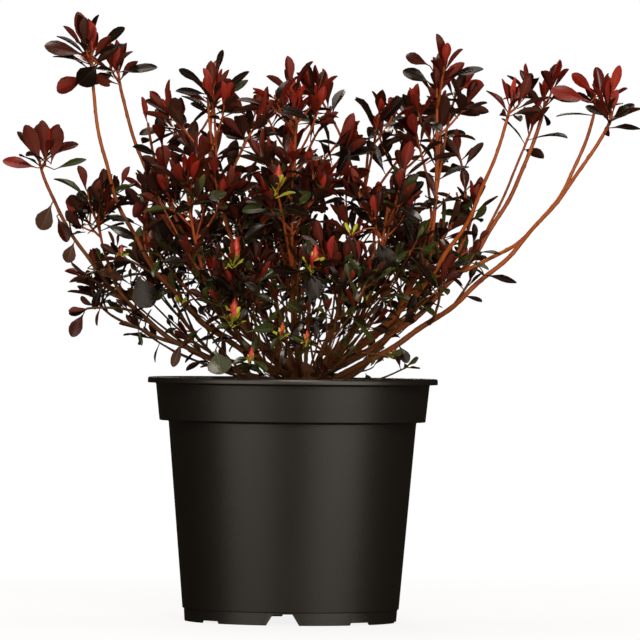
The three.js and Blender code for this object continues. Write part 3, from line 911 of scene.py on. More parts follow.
def crown_body():
    """A squat stool: a flared foot, a neck, and a rounded top that the stems rise from."""
    foot, height, flare, neck = (CROWN[k] for k in ("foot", "height", "flare", "neck"))
    outline = [
        (0, foot, 0),
        (flare, foot, 0.6),
        (flare * 0.8, foot + 3, 1.5),
        (neck + 1, foot + 9, 2.5),
        (neck, foot + 16, 2.5),
        (neck * 0.75, foot + 22, 2.5),
        (4, foot + height - 1.6, 1.5),
        (0, foot + height, 0),
    ]
    corners = np.array(rounded(outline))
    shares = np.concatenate([[0], np.cumsum(np.linalg.norm(np.diff(corners, axis=0), axis=1))])
    marks = np.linspace(0, shares[-1], CROWN_MARKS)
    profile = list(zip(*(np.interp(marks, shares, corners[:, side]) for side in (0, 1))))

    def buttressed(rings):
        x, y, z = rings[..., 0], rings[..., 1], rings[..., 2]
        turn = np.arctan2(y, x)
        low = np.clip(1 - (z - foot) / BUTTRESSES["high"], 0, 1)
        lobe = 1 + BUTTRESSES["deep"] * low * np.cos(BUTTRESSES["count"] * turn)
        furrow = 1 + np.sin(FURROWS["count"] * turn + z * FURROWS["lean"])
        lobe -= FURROWS["deep"] * furrow * (z > foot + 1)
        return np.stack([x * lobe + CROWN["x"], y * lobe + CROWN["y"], z], -1)

    return turned(profile, CROWN_SIDES, buttressed)


# %% Bark colours
# Below the first height the bark is old and brown, above the second young and orange. The heights are
# set high, so that the brown is also painted shade on the stems inside the crown.
OLD_AND_SHADED_BARK = 0.19  # metres above the ground, on the shrub's middle line
YOUNG_AND_LIT_BARK = 0.33


def bark():
    """Olive brown and dull at the foot, smooth orange brown on the year's growth above.

    The brown reaches high up partly as painted shade on the stems inside the crown, and towards the
    right the bark is painted lighter and more orange, as painted light on the side that is lit more."""
    finish = Finish("bark", sheen=0.25)
    height = finish.node("ShaderNodeSeparateXYZ", None, {0: finish.place()}, output="Z")
    right = height.sibling("X")
    patches = finish.noise(70.0, 3.0)
    streaks = finish.noise(260.0, 4.0, (1.0, 1.0, 0.35))
    # The share of young bark rises with height and to the right: real age of the bark, with painted
    # shade low in the crown and painted light on the right side.
    age = finish.rising(height + right * 0.30 + (patches - 0.5) * 0.09, OLD_AND_SHADED_BARK, YOUNG_AND_LIT_BARK)
    young_and_lit = finish.mix(streaks, linear(122, 56, 17), linear(158, 79, 25))
    old_and_shaded = finish.mix(streaks, linear(42, 25, 10), linear(104, 65, 29))
    finish.drive(colour=finish.mix(age, old_and_shaded, young_and_lit), roughness=0.62 - age * 0.14)
    return finish.bump(streaks, 0.5, 0.0006).material


# %% Limbs with bark
SLIM = 0.7  # radius of a limb with its bark, as a share of the solid's
FOOT_TAPER = 1.4  # a limb that rises from the crown thins fast at first
LIMB_SIDES = 12
LIMB_RINGS = 2.4  # mm from one ring to the next
LIMB_SCARS = dict(apart=(8, 12), height=0.4)
LIMB_SWAY = 1.0
COLLAR = dict(swell=0.45, length=7.0)  # where a limb leaves the crown or its carrier


def make_limbs():
    body = crown_body()
    for index, limb in enumerate(LIMBS):
        draw = seeded(SEED + 17 * index)
        bend = bends[limb.name]
        power = 1.0 if limb.carrier else FOOT_TAPER

        def radius_at(shares, limb=limb, bend=bend, power=power):
            taper = limb.tip + (limb.foot - limb.tip) * (1 - shares) ** power
            collar = COLLAR["swell"] * np.exp(-shares * bend.length / COLLAR["length"])
            return SLIM * taper * (1 + collar)

        relief = scars(draw, between(draw, *LIMB_SCARS["apart"]), LIMB_SCARS["height"])
        phase = between(draw, 0, ANY_PHASE)
        sweep(body, bend, radius_at, LIMB_SIDES, LIMB_RINGS, relief, LIMB_SWAY, phase)
    limbs = body.build("limbs", [bark()])
    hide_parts("root_crown", *(f"limb_{limb.name}" for limb in LIMBS))
    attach(limbs, "root")


make_limbs()

# %% [markdown]
# ## Stems and twigs
#
# Each limb ends where it enters a mass of foliage. The rule of the solids is written again
# here: one stem grows on from the limb and bends up, and side twigs leave it a golden angle
# apart. The rule then goes one step finer. Every stem and twig carries short shoots, and each
# of those bears a tuft. A shoot that would leave the space of its own mass is skipped, which
# keeps the sky between the outer arms.

# %% The masses' sizes
# limb: (length of the stem, side twigs, their length, shoots on each, leaves in a tuft)
MASSES = {
    "far_left": (24, 1, 18, 0, 6),
    "top_left": (28, 2, 20, 0, 7),
    "top_left_inner": (18, 1, 18, 0, 7),
    "left_shoulder": (54, 4, 38, 2, 7),
    "left_crest": (68, 4, 40, 2, 7),
    "middle_crest": (60, 4, 40, 2, 7),
    "middle_right_crest": (72, 4, 38, 2, 7),
    "right_crest": (72, 4, 40, 2, 7),
    "right_arm_inner": (11, 1, 14, 0, 6),
    "right_arm": (15, 2, 22, 0, 6),
    "far_right_upper": (20, 1, 18, 0, 5),
    "far_right_lower": (18, 2, 14, 0, 5),
    "front_middle": (80, 4, 40, 3, 7),
    "front_left": (74, 4, 42, 3, 7),
    "front_right": (74, 4, 42, 3, 7),
    "back_left": (76, 4, 42, 2, 7),
    "back_middle": (78, 4, 42, 2, 7),
    "back_right": (76, 4, 42, 2, 7),
    "heart": (70, 4, 36, 3, 6),
    "left_middle": (26, 3, 28, 2, 6),
    "left_low": (22, 2, 22, 1, 5),
    "right_middle": (34, 3, 30, 2, 6),
    "right_low": (20, 2, 20, 1, 4),
    "back_low_left": (52, 4, 36, 2, 6),
    "back_low_right": (52, 4, 36, 2, 6),
    "back_low": (54, 4, 36, 2, 6),
    "front_low_left": (42, 3, 34, 3, 6),
    "front_low_right": (42, 3, 34, 3, 6),
}
STEM = dict(lift=0.5, straight=0.5, tip=1.05)  # how much it bends up, and its end's radius
# Side twigs leave a stem over a part of it, at a tilt in radians. The lower ones are longer and
# more tilted, and play is how much chance moves each. A twig is straight for the first part of
# its length, and then bent upwards by its lift.
TWIG = dict(
    start=0.3,
    over=0.6,
    stagger=0.4,
    tilt=1.05,
    tilt_fall=0.35,
    tilt_play=0.15,
    long=1.15,
    long_fall=0.45,
    long_play=0.3,
    straight=0.55,
    bent=0.5,
    lift=1.1,
)
CELL = dict(middle=0.7, stem=0.35, spread=0.6)  # a mass's own space: its middle and its size

# kind: (radius at the foot, radius at the tip, rank)
WOOD_SIZES = {
    "twig": (1.05, 0.8, 1),
    "shoot": (0.8, 0.6, 2),
    "crest stem": (1.15, 0.95, 1),
    "spur": (0.75, 0.5, 3),
    "whip": (1.05, 0.65, 3),
    "holder": (0.6, 0.45, 3),
}
Wood = namedtuple("Wood", "bend foot tip rank")  # rank 0 is a stem, and 3 the finest


# %% One mass of twigs
def side_shoot(carrier, share, turn, tilt, length, lift=TWIG["lift"]):
    """A shoot that leaves its carrier at a tilt and then bends up."""
    root = carrier.at(share)
    leave = leaning(carrier.along(share), turn, tilt)
    middle = root + leave * length * TWIG["straight"]
    return Bend(root, middle, middle + unit(leave + UP * lift) * length * TWIG["bent"])


def mass_wood(name, index):
    """The stem and side twigs of a mass, drawn as the solids have them."""
    limb = next(limb for limb in LIMBS if limb.name == name)
    stem_length, twigs, spread, _, _ = MASSES[name]
    draw = seeded(SEED * (index + 1))
    along = bends[name].along(1.0)
    root = bends[name].at(1.0) + along * CLEAR
    stem_end = unit(along + UP * STEM["lift"])
    middle = root + along * stem_length * STEM["straight"]
    stem = Bend(root, middle, root + stem_end * stem_length)
    wood = [Wood(stem, limb.tip * SLIM, STEM["tip"], 0)]
    first_turn = draw() * ROUND
    for k in range(twigs):
        share = TWIG["start"] + TWIG["over"] * (k + draw() * TWIG["stagger"]) / twigs
        turn = first_turn + k * GOLDEN_ANGLE
        tilt = TWIG["tilt"] - TWIG["tilt_fall"] * share + TWIG["tilt_play"] * (draw() - 0.5)
        play = 1 + TWIG["long_play"] * (draw() - 0.5)
        length = spread * (TWIG["long"] - TWIG["long_fall"] * share) * play
        wood.append(Wood(side_shoot(stem, share, turn, tilt, length), *WOOD_SIZES["twig"]))
    middle = root + stem_end * stem_length * CELL["middle"]
    return wood, (middle, stem_length * CELL["stem"] + spread * CELL["spread"]), draw


# %% Keeping to its own space
SHOOT_SLACK = 9.0  # how far a tuft may stand in its neighbour's space


def own_space(point, cells, index):
    """Whether a point is nearer to its own mass than to any other, give or take the slack."""
    middle, size = cells[index]
    own = np.sum((point - middle) ** 2) - size**2
    for other, (place, reach) in enumerate(cells):
        if other == index:
            continue
        theirs = np.sum((point - place) ** 2) - reach**2
        if theirs - own < -2 * SHOOT_SLACK * np.linalg.norm(middle - place):
            return False
    return True


# %% [markdown]
# ### Openings in the crown
#
# The crown isn't a closed dome. Its tufts stand apart on bare stems, and sky shows between
# them and under the outer arms. Those openings are part of its character, so the larger ones
# are named here as they are seen from the front, each an ellipse by its middle and half sizes.
# A shoot that would end in one is left out, and so is any leaf that would reach into it.

# %% Openings
Opening = namedtuple("Opening", "x z wide high")
OPENINGS = (
    Opening(-94, 442, 17, 16),
    Opening(-112, 420, 9, 10),
    Opening(-141, 390, 13, 38),
    Opening(-163, 364, 8, 20),
    Opening(-45, 443, 6, 13),
    Opening(-25, 438, 10, 13),
    Opening(45, 418, 15, 26),
    Opening(-79, 403, 6, 11),
    Opening(-69, 389, 3, 10),
    Opening(3, 387, 3, 12),
    Opening(67, 357, 11, 8),
    Opening(123, 357, 7, 10),
    Opening(78, 436, 14, 19),
    Opening(56, 366, 6, 21),
    Opening(146, 386, 8, 13),
    Opening(139, 367, 7, 13),
    Opening(162, 383, 10, 16),
    Opening(179, 320, 13, 48),
    Opening(206, 368, 24, 24),
    Opening(164, 299, 8, 14),
    Opening(157, 338, 4, 16),
    Opening(156, 242, 40, 27),
    Opening(120, 224, 26, 18),
    Opening(-208, 333, 28, 18),
    Opening(-202, 284, 17, 27),
    Opening(-185, 210, 44, 26),
)


def seen(points):
    """Where points stand in the picture, as x and z at the pot's axis."""
    eye = np.array(CAMERA_AT) / MM
    nearness = (eye[1] / (eye[1] - points[..., 1]))[..., None]
    return eye[[0, 2]] + (points[..., [0, 2]] - eye[[0, 2]]) * nearness


def in_opening(points, margin=0.0):
    places = seen(points)
    found = np.zeros(places.shape[:-1], bool)
    for hole in OPENINGS:
        across = (places[..., 0] - hole.x) / (hole.wide + margin)
        up = (places[..., 1] - hole.z) / (hole.high + margin)
        found |= across**2 + up**2 < 1
    return found


# %% [markdown]
# ### The crest and the buds
#
# The tufts that make the shrub's outline stand at the ends of long straight stems. They are
# placed one by one, by where each tip is, and so are the few tufts in front that hold a red
# bud in a ruff of lime bracts. Each row has the tip's place, the length of its stem, how many
# leaves it bears, how long they are, and the length of its bud. The small tufts of the masses
# stay clear of the high ones, which would otherwise drown in them.

# %% Featured tufts
Featured = namedtuple("Featured", "x y z length leaves leaf bud", defaults=(0,))
FEATURED = (
    Featured(-65, -20, 421, 88, 9, 32),
    Featured(-43, 20, 404, 60, 6, 27),
    Featured(-4, 0, 425, 86, 8, 31),
    Featured(17, 20, 419, 82, 8, 31),
    Featured(-30, -45, 393, 70, 8, 31),
    Featured(-102, -30, 403, 70, 8, 30),
    Featured(-106, 10, 380, 60, 6, 28),
    Featured(-42, -10, 384, 60, 7, 29),
    Featured(-52, 0, 360, 50, 7, 29),
    Featured(36, -20, 382, 66, 7, 30),
    Featured(40, -90, 315, 60, 8, 28),
    Featured(60, -70, 325, 60, 7, 28),
    Featured(112, -10, 366, 50, 7, 28),
    Featured(-137, -30, 287, 40, 7, 24, 8),
    Featured(112, 0, 428, 84, 9, 34),
    Featured(128, 30, 423, 80, 8, 34),
    Featured(115, -20, 402, 60, 6, 30),
    Featured(66, -30, 401, 92, 8, 31),
    Featured(95, -50, 384, 66, 8, 31),
    Featured(20, 10, 392, 60, 6, 28),
    Featured(42, -50, 371, 70, 9, 31),
    Featured(85, 0, 371, 60, 7, 29),
    Featured(130, 30, 374, 60, 7, 28),
    Featured(36, -60, 350, 60, 8, 30),
    Featured(-112, -40, 346, 60, 9, 32),
    Featured(81, -70, 335, 70, 8, 30),
    Featured(125, -30, 317, 60, 9, 30),
    Featured(144, 0, 334, 40, 6, 25),
    Featured(136, 0, 290, 30, 6, 25),
    Featured(140, -10, 273, 26, 4, 19),
    Featured(191, 60, 400, 120, 6, 31),
    Featured(-14, -148, 339, 80, 9, 31, 15),
    Featured(-46, -138, 284, 50, 7, 25, 14),
    Featured(15, -148, 279, 50, 8, 25, 14),
    Featured(-47, -124, 238, 36, 5, 19, 14),
    Featured(-9, -122, 227, 36, 5, 17, 8),
    Featured(-33, -116, 206, 30, 5, 17, 9),
    Featured(10, -112, 221, 30, 5, 17, 8),
    Featured(57, -100, 257, 40, 5, 20, 7),
    Featured(78, -60, 211, 24, 4, 17, 5),
    Featured(-84, -20, 376, 55, 8, 29),
    Featured(-64, -25, 372, 55, 8, 29),
    Featured(14, -50, 350, 60, 8, 30),
    Featured(-118, -20, 328, 50, 8, 28),
    Featured(-3, -10, 372, 60, 8, 30),
    Featured(-166, -12, 272, 30, 5, 21),
    Featured(-164, -8, 246, 26, 4, 19),
)
TUFT_MARGIN = 5.0  # how far a small tuft's middle stays from an opening
CREST = 360.0  # above this height the featured tufts stand clear of the small ones
CREST_ROOM = 20.0  # how far they stand clear, as seen


def no_place_for(point):
    """Whether a small tuft here would fill an opening or hide in a tuft of the crest."""
    tufts = np.array([(tuft.x, tuft.y, tuft.z) for tuft in FEATURED if tuft.z > CREST])
    crowded = (np.linalg.norm(seen(tufts) - seen(point), axis=1) < CREST_ROOM).any()
    return bool(in_opening(point, TUFT_MARGIN)) or crowded


# %% [markdown]
# ### Growing the masses
#
# With the openings and the crest known, all masses can grow. A side twig that would end in an
# opening is left out. The stem of a mass stays, but ends short of it without a tuft.

# %% Growing the masses
Tip = namedtuple("Tip", "bend leaves leaf draw featured")
SHOOT = dict(
    start=0.22,
    over=0.62,
    stagger=0.7,
    tilts=(0.5, 0.9),
    on_stem=(20, 34),  # its length in millimetres on a stem, and on a side twig
    on_twig=(14, 24),
)
STOPPED = 0.75  # share of a stem that is left where its end would fill an opening
LEAF_LENGTHS = {200: 18, 300: 26, 400: 31}  # by height above the ground, in millimetres
LEAF_PLAY = (0.86, 1.08)
SMALL_LEAVED = {  # the limbs whose leaves are smaller, and by how much
    "right_arm_inner": 0.88,
    "right_arm": 0.92,
    "far_right_upper": 0.86,
    "far_right_lower": 0.86,
}


def leaf_size(height):
    """Leaves are larger towards the top of the shrub."""
    return float(np.interp(height, list(LEAF_LENGTHS), list(LEAF_LENGTHS.values())))


def a_few(draw, least, choices):
    return least + int(choices * draw())


def mass_tip(name, bend, leaves, draw):
    """A tip with one leaf fewer than usual, as many, or one more."""
    size = leaf_size(bend.at(1.0)[2]) * between(draw, *LEAF_PLAY) * SMALL_LEAVED.get(name, 1.0)
    return Tip(bend, leaves + a_few(draw, -1, 2.99), size, draw, False)


def grow_masses():
    """All wood beyond the limbs, and the tips that carry tufts."""
    grown = [mass_wood(name, index) for index, name in enumerate(MASSES)]
    cells = [cell for _, cell, _ in grown]
    wood, tips = [], []
    for index, (name, (_, _, _, shoots, leaves)) in enumerate(MASSES.items()):
        own, _, draw = grown[index]
        for piece in own:
            closed = in_opening(piece.bend.at(1.0), TUFT_MARGIN)
            if closed and piece.rank > 0:
                continue
            if closed:
                piece = piece._replace(bend=piece.bend.up_to(STOPPED))
            else:
                tips.append(mass_tip(name, piece.bend, leaves, draw))
            wood.append(piece)
            first_turn = between(draw, 0, ROUND)
            for k in range(shoots):
                share = SHOOT["start"] + SHOOT["over"] * (k + draw() * SHOOT["stagger"]) / shoots
                tilt = between(draw, *SHOOT["tilts"])
                length = between(draw, *SHOOT["on_twig" if piece.rank else "on_stem"])
                shoot = side_shoot(piece.bend, share, first_turn + k * GOLDEN_ANGLE, tilt, length)
                end = shoot.at(1.0)
                if own_space(end, cells, index) and not no_place_for(end):
                    wood.append(Wood(shoot, *WOOD_SIZES["shoot"]))
                    tips.append(mass_tip(name, shoot, leaves, draw))
    return wood, tips


wood, tips = grow_masses()
print(len(wood), "stems, twigs and shoots carry", len(tips), "tufts")

# %% [markdown]
# ### Stems for the crest
#
# The stem of each featured tuft starts where a limb passes about a stem's length below its
# tip, in a direction that the stem can carry on. So every place along every limb gets a cost:
# for a wrong length, for a turn, and for another stem that starts close by.

# %% Stems for the crest
TURN_COST = 60.0  # for a stem that leaves its limb at a right angle
CROWDED_COST = 22.0  # for one that starts in the same place as another
ROOTS_APART = 9.0  # from this distance on, another stem costs nothing
STRAIGHTEN = 1.6  # how soon a stem turns from its limb's way to its own
ROOT_SHARES = np.linspace(0.12, 1.0, 45)  # the places along a limb that are tried


def featured_stem(tuft, taken):
    """A nearly straight stem to a tip, from the best place on a limb that none has taken."""
    tip = np.array((tuft.x, tuft.y, tuft.z), float)
    best = None
    for bend in bends.values():
        places, ways = bend.at(ROOT_SHARES), bend.along(ROOT_SHARES)
        chords = tip - places
        spans = np.linalg.norm(chords, axis=1)
        turned_away = 1 - np.sum(chords * ways, 1) / spans
        costs = np.abs(spans - tuft.length) + TURN_COST * turned_away
        for root in taken:
            near = np.linalg.norm(places - root, axis=1) / ROOTS_APART
            costs = costs + CROWDED_COST * np.clip(1 - near, 0, 1)
        k = int(np.argmin(costs))
        if best is None or costs[k] < best[0]:
            best = (costs[k], places[k], ways[k])
    _, root, way = best
    taken.append(root)
    chord = tip - root
    leave = unit(way + STRAIGHTEN * unit(chord))
    return Bend(root, root + leave * np.linalg.norm(chord) * 0.5, tip)


def grow_featured():
    grown, taken = [], []
    for index, tuft in enumerate(FEATURED):
        stem = featured_stem(tuft, taken)
        wood.append(Wood(stem, *WOOD_SIZES["crest stem"]))
        leaves = tuft.leaves if tuft.bud else tuft.leaves + 1
        grown.append(Tip(stem, leaves, tuft.leaf, seeded(SEED * 5 + index), True))
    return grown


tips += grow_featured()
print("with the crest there are", len(tips), "tufts")

# %% [markdown]
# ### Spurs on the limbs
#
# The lower halves of the limbs aren't bare: thin spurs with small, old leaves stand on them,
# and through these the sky shows in many small gaps. A spur grows by the same rule as a shoot.
# The long arms on the right and at the top left stay clean, as they do on the plant.

# %% Spurs
SPUR = dict(tilts=(0.5, 1.0), lift=0.8, leaves=(2, 3), leaf=(13, 21))
# limb: (first share, last share, spurs, shortest, longest)
SPURS = {
    "far_left": (0.30, 0.92, 7, 12, 34),
    "top_left": (0.22, 0.50, 5, 16, 34),
    "top_left_inner": (0.22, 0.62, 6, 16, 36),
    "left_shoulder": (0.22, 0.95, 7, 18, 38),
    "left_crest": (0.25, 0.95, 7, 18, 38),
    "middle_crest": (0.25, 0.95, 8, 18, 38),
    "middle_right_crest": (0.25, 0.95, 7, 18, 38),
    "right_crest": (0.30, 0.90, 7, 18, 38),
    "right_arm_inner": (0.24, 0.52, 5, 16, 34),
    "right_arm": (0.20, 0.50, 5, 16, 34),
    "far_right_upper": (0.03, 0.16, 2, 12, 20),
    "far_right_lower": (0.26, 0.46, 3, 12, 22),
    "front_middle": (0.30, 0.92, 6, 16, 32),
    "front_left": (0.30, 0.92, 6, 16, 32),
    "front_right": (0.30, 0.92, 6, 16, 32),
    "back_left": (0.30, 0.92, 6, 16, 34),
    "back_middle": (0.30, 0.92, 6, 16, 34),
    "back_right": (0.30, 0.92, 6, 16, 34),
    "heart": (0.30, 0.90, 4, 14, 26),
    "left_middle": (0.20, 0.90, 3, 12, 22),
    "right_middle": (0.20, 0.90, 4, 14, 26),
    "back_low_left": (0.35, 0.90, 4, 12, 26),
    "back_low_right": (0.35, 0.90, 4, 12, 26),
    "back_low": (0.35, 0.90, 4, 12, 26),
    "front_low_left": (0.35, 0.90, 3, 12, 24),
    "front_low_right": (0.35, 0.90, 3, 12, 24),
}


def grow_spurs():
    grown = []
    for index, (name, (low, high, count, *lengths)) in enumerate(SPURS.items()):
        draw = seeded(SEED * 7 + index * 131)
        first_turn = between(draw, 0, ROUND)
        for k in range(count):
            share = low + (high - low) * (k + draw()) / count
            turn = first_turn + k * GOLDEN_ANGLE
            length = between(draw, *lengths)
            tilt = between(draw, *SPUR["tilts"])
            spur = side_shoot(bends[name], share, turn, tilt, length, SPUR["lift"])
            leaves, size = a_few(draw, *SPUR["leaves"]), between(draw, *SPUR["leaf"])
            if not no_place_for(spur.at(1.0)):
                wood.append(Wood(spur, *WOOD_SIZES["spur"]))
                grown.append(Tip(spur, leaves, size, draw, False))
    return grown


spurs = grow_spurs()
print(len(spurs), "spurs stand on the limbs")

# %% [markdown]
# ### Whips
#
# Between the limbs stands a fan of thin straight whips, as an azalea makes them from its old
# wood each year. They fill the heart of the shrub with fine upright lines, each with a small
# tuft at its end. The long arms have whips only near the crown.

# %% Whips
WHIP_SHARES = (0.06, 0.18, 0.30, 0.42, 0.56, 0.72, 0.86)
WHIP = dict(
    stagger=0.1,
    length=(50, 110),
    long=1.1,  # near the crown they are longer, and shorter towards the limb's tip
    long_fall=0.4,
    tilts=(0.15, 0.45),
    lift=0.5,
    leaves=(5, 3),
    leaf=(0.8, 1.0),  # as a share of the usual size
)
ARM_WHIPS = 2
LONG_ARMS = ("far_left", "top_left", "top_left_inner", "right_arm", "right_arm_inner", "far_right_lower")


def grow_whips():
    grown = []
    for index, limb in enumerate(LIMBS):
        if limb.carrier:
            continue
        draw = seeded(SEED * 11 + index * 57)
        first_turn = between(draw, 0, ROUND)
        shares = WHIP_SHARES[:ARM_WHIPS] if limb.name in LONG_ARMS else WHIP_SHARES
        for k, start in enumerate(shares):
            share = start + between(draw, 0, WHIP["stagger"])
            turn = first_turn + k * GOLDEN_ANGLE
            length = between(draw, *WHIP["length"]) * (WHIP["long"] - WHIP["long_fall"] * share)
            tilt = between(draw, *WHIP["tilts"])
            whip = side_shoot(bends[limb.name], share, turn, tilt, length, WHIP["lift"])
            leaves = a_few(draw, *WHIP["leaves"])
            size = leaf_size(whip.at(1.0)[2]) * between(draw, *WHIP["leaf"])
            if not no_place_for(whip.at(1.0)):
                wood.append(Wood(whip, *WOOD_SIZES["whip"]))
                grown.append(Tip(whip, leaves, size, draw, False))
    return grown


whips = grow_whips()
print(len(whips), "whips stand between the limbs")

# %% [markdown]
# ## Leaves
#
# An azalea leaf is about three centimetres long, widest beyond its middle, blunt, leathery and
# a little cupped, with a sunken midrib. It is dark and glossy above, and dull red or salmon
# below. So a leaf here is a thin closed body and not one sheet: the upper side, the underside
# and the midrib can then wear different plain colours. All leaves are worked out together as
# arrays, because thousands of them one by one would take minutes.

# %% One leaf's grid
LEAF = dict(
    thick=0.34,
    petiole=0.08,  # share of its length
    widest=1.38,  # the power that moves its widest place up
    base=0.95,  # the powers that round its base and its tip
    tip=0.55,
    narrowest=0.08,
    rib=0.3,  # half width of the midrib at its foot, in millimetres
    rib_fall=0.75,
    groove=0.22,
    ridge=1.3,  # height of the midrib below, as a share of the groove above
    ripple=0.09,  # how far its edge waves, as a share of its half width
    ripples=7.5,
    bend=1.4,  # the powers by which it bends more towards its tip
    cup=1.5,  # and cups more towards its edge
)
STATIONS = np.array([0.0, 0.08, 0.2, 0.36, 0.54, 0.72, 0.87, 0.96, 1.0])
ACROSS = np.array([-1.0, -0.55, 0.0, 0.0, 0.55, 1.0])  # the two in the middle hold the midrib
RIB_SIDE = np.array([0.0, 0.0, -1.0, 1.0, 0.0, 0.0])
RIB_COLUMN = 2
INNER = slice(1, 5)  # the columns that are not the leaf's edge


def half_widths():
    """The half width at each station, as a share of the widest."""
    blade = np.clip((STATIONS - LEAF["petiole"]) / (1 - LEAF["petiole"]), 0, 1)
    wave = np.pi * blade ** LEAF["widest"]
    wide = np.sin(wave) ** np.where(wave < np.pi / 2, LEAF["base"], LEAF["tip"])
    return np.maximum(wide, LEAF["narrowest"])


def leaf_faces():
    """Quads of the upper side and of the underside, and which of them are midrib."""
    columns, rows = len(ACROSS), len(STATIONS)
    row, column = (a.ravel() for a in np.mgrid[0 : rows - 1, 0 : columns - 1])
    top = np.arange(rows * columns).reshape(rows, columns)
    under = top.copy()
    under[:, INNER] = rows * columns + np.arange(rows * 4).reshape(rows, 4)

    def quads(grid, order):
        corners = (grid[row + down, column + right] for down, right in order)
        return np.stack(list(corners), -1)

    round_up = ((0, 0), (0, 1), (1, 1), (1, 0))
    caps = [[*top[0, ::-1], *under[0, INNER]], [*top[-1], *under[-1, INNER][::-1]]]
    return quads(top, round_up), quads(under, round_up[::-1]), np.array(caps), column == RIB_COLUMN


TOP_FACES, UNDER_FACES, CAP_FACES, IS_RIB = leaf_faces()
print("a leaf has", 2 * len(TOP_FACES) + len(CAP_FACES), "faces")

# %% [markdown]
# The shape of each leaf follows from a row of numbers: where it is rooted, which way it points
# and faces, how long and wide it is, how far it bends back, how deeply it is cupped, how its
# edge waves and how it twists. The last number is its kind, which gives its colours.

# %% Many leaves at once
LEAF_FIELDS = "root along above length width bend cup wave twist kind".split()


def as_fields(rows):
    return {field: np.array([row[i] for row in rows]) for i, field in enumerate(LEAF_FIELDS)}


def only(rows, keep):
    return {field: values[keep] for field, values in rows.items()}


def leaf_points(rows):
    """Corners of all leaves, as an array of leaf by corner by axis."""
    along, above, length = rows["along"], rows["above"], rows["length"]
    side = np.cross(along, above)
    turn = rows["bend"][:, None] * STATIONS ** LEAF["bend"]
    cos, sin = np.cos(turn)[..., None], np.sin(turn)[..., None]
    ways = along[:, None] * cos - above[:, None] * sin
    normals = above[:, None] * cos + along[:, None] * sin
    steps = np.diff(STATIONS)[None, :, None] * (ways[:, 1:] + ways[:, :-1]) / 2
    middles = np.concatenate([np.zeros((len(length), 1, 3)), np.cumsum(steps, 1)], 1)
    middles = rows["root"][:, None] + middles * length[:, None, None]
    spin = (rows["twist"][:, None] * STATIONS)[..., None]
    across = side[:, None] * np.cos(spin) + normals * np.sin(spin)
    raised = normals * np.cos(spin) - side[:, None] * np.sin(spin)
    half = 0.5 * (rows["width"] * length)[:, None] * half_widths()[None]
    rib = LEAF["rib"] * (1 - LEAF["rib_fall"] * STATIONS)
    offset = half[..., None] * ACROSS + rib[None, :, None] * RIB_SIDE
    height = rows["cup"][:, None, None] * half[..., None] * np.abs(ACROSS) ** LEAF["cup"]
    ripple = np.sin(LEAF["ripples"] * STATIONS[None, :, None] + rows["wave"][:, None, None] + ACROSS)
    height = height + LEAF["ripple"] * half[..., None] * ripple * ACROSS**2
    groove = LEAF["groove"] * (RIB_SIDE != 0)
    thick = LEAF["thick"] * np.where(np.abs(ACROSS) < 1, 0.5, 0)
    sheet = middles[:, :, None] + across[:, :, None] * offset[..., None]
    top = sheet + raised[:, :, None] * (height + thick - groove)[..., None]
    under = sheet + raised[:, :, None] * (height - thick - LEAF["ridge"] * groove)[..., None]
    count = len(length)
    return np.concatenate([top.reshape(count, -1, 3), under[:, :, INNER].reshape(count, -1, 3)], 1)


# %% [markdown]
# ### Tufts
#
# Leaves crowd at the end of each shoot. The lowest ones of a tuft are the oldest: they spread
# or hang, dark and glossy. The youngest stand upright round the tip like a tulip, cupped and
# red, and turn their paler undersides outward. So tilt, size, bend and colour all follow from
# a leaf's rank in its tuft, with some chance. Colours are dealt out by tuft: the top ones are
# redder, and those near the foot of the shrub are green.

# %% Tufts of leaves
KINDS = ("night", "bronze", "wine", "ruby", "scarlet", "moss", "umber", "lime")
REDDER = (("night", 0.38), ("bronze", 0.66), ("wine", 0.92), ("ruby", 1.22))  # kind: up to this age
TUFT_STRETCH = 0.42  # length of twig that a tuft's leaves leave from, in leaf lengths
CREST_STRETCH = 0.78  # the same for a featured tuft
GREEN_FOOT = 225.0  # height where leaves are greenest
RED_TOP = 415.0  # and where they are reddest
RED = dict(foot=-0.46, rise=0.52, play=0.28, by_rank=0.95)
GREEN = dict(fall=2, rare=1.2, by_rank=1.15)
Mood = namedtuple("Mood", "redness greenness")
TUFT = dict(
    tilt=1.40,  # of the oldest leaf, in radians
    tilt_fall=1.06,  # the youngest tilts by this much less
    tilt_play=0.2,
    roll=0.9,
    length=(0.8, 1.1),
    short=0.28,  # the youngest is shorter by this share
    width=(0.28, 0.34),
    width_rise=0.07,
    bend=(-0.15, 0.45),
    bend_old=0.7,  # old leaves bend back
    bend_young=0.75,  # and young ones close over the tip
    cup=(0.1, 0.3),
    cup_rise=0.55,
    twist=0.5,
)


def swing(draw, most):
    return between(draw, -most, most)


def tuft_mood(height, draw):
    """How red and how green a tuft is, by its height above the ground."""
    share = float(np.clip((height - GREEN_FOOT) / (RED_TOP - GREEN_FOOT), 0, 1))
    redness = RED["rise"] * share + RED["foot"] + swing(draw, RED["play"])
    return Mood(redness, (1 - share) ** GREEN["fall"] * draw() ** GREEN["rare"])


def kind_for(rank, mood, draw):
    if draw() < mood.greenness * (GREEN["by_rank"] - rank):
        return "moss"
    age = RED["by_rank"] * rank + mood.redness + swing(draw, RED["play"])
    return next((kind for kind, top in REDDER if age < top), "scarlet")


def squared(above, along):
    """The direction nearest to above that is square to along."""
    return unit(above - along * np.dot(above, along))


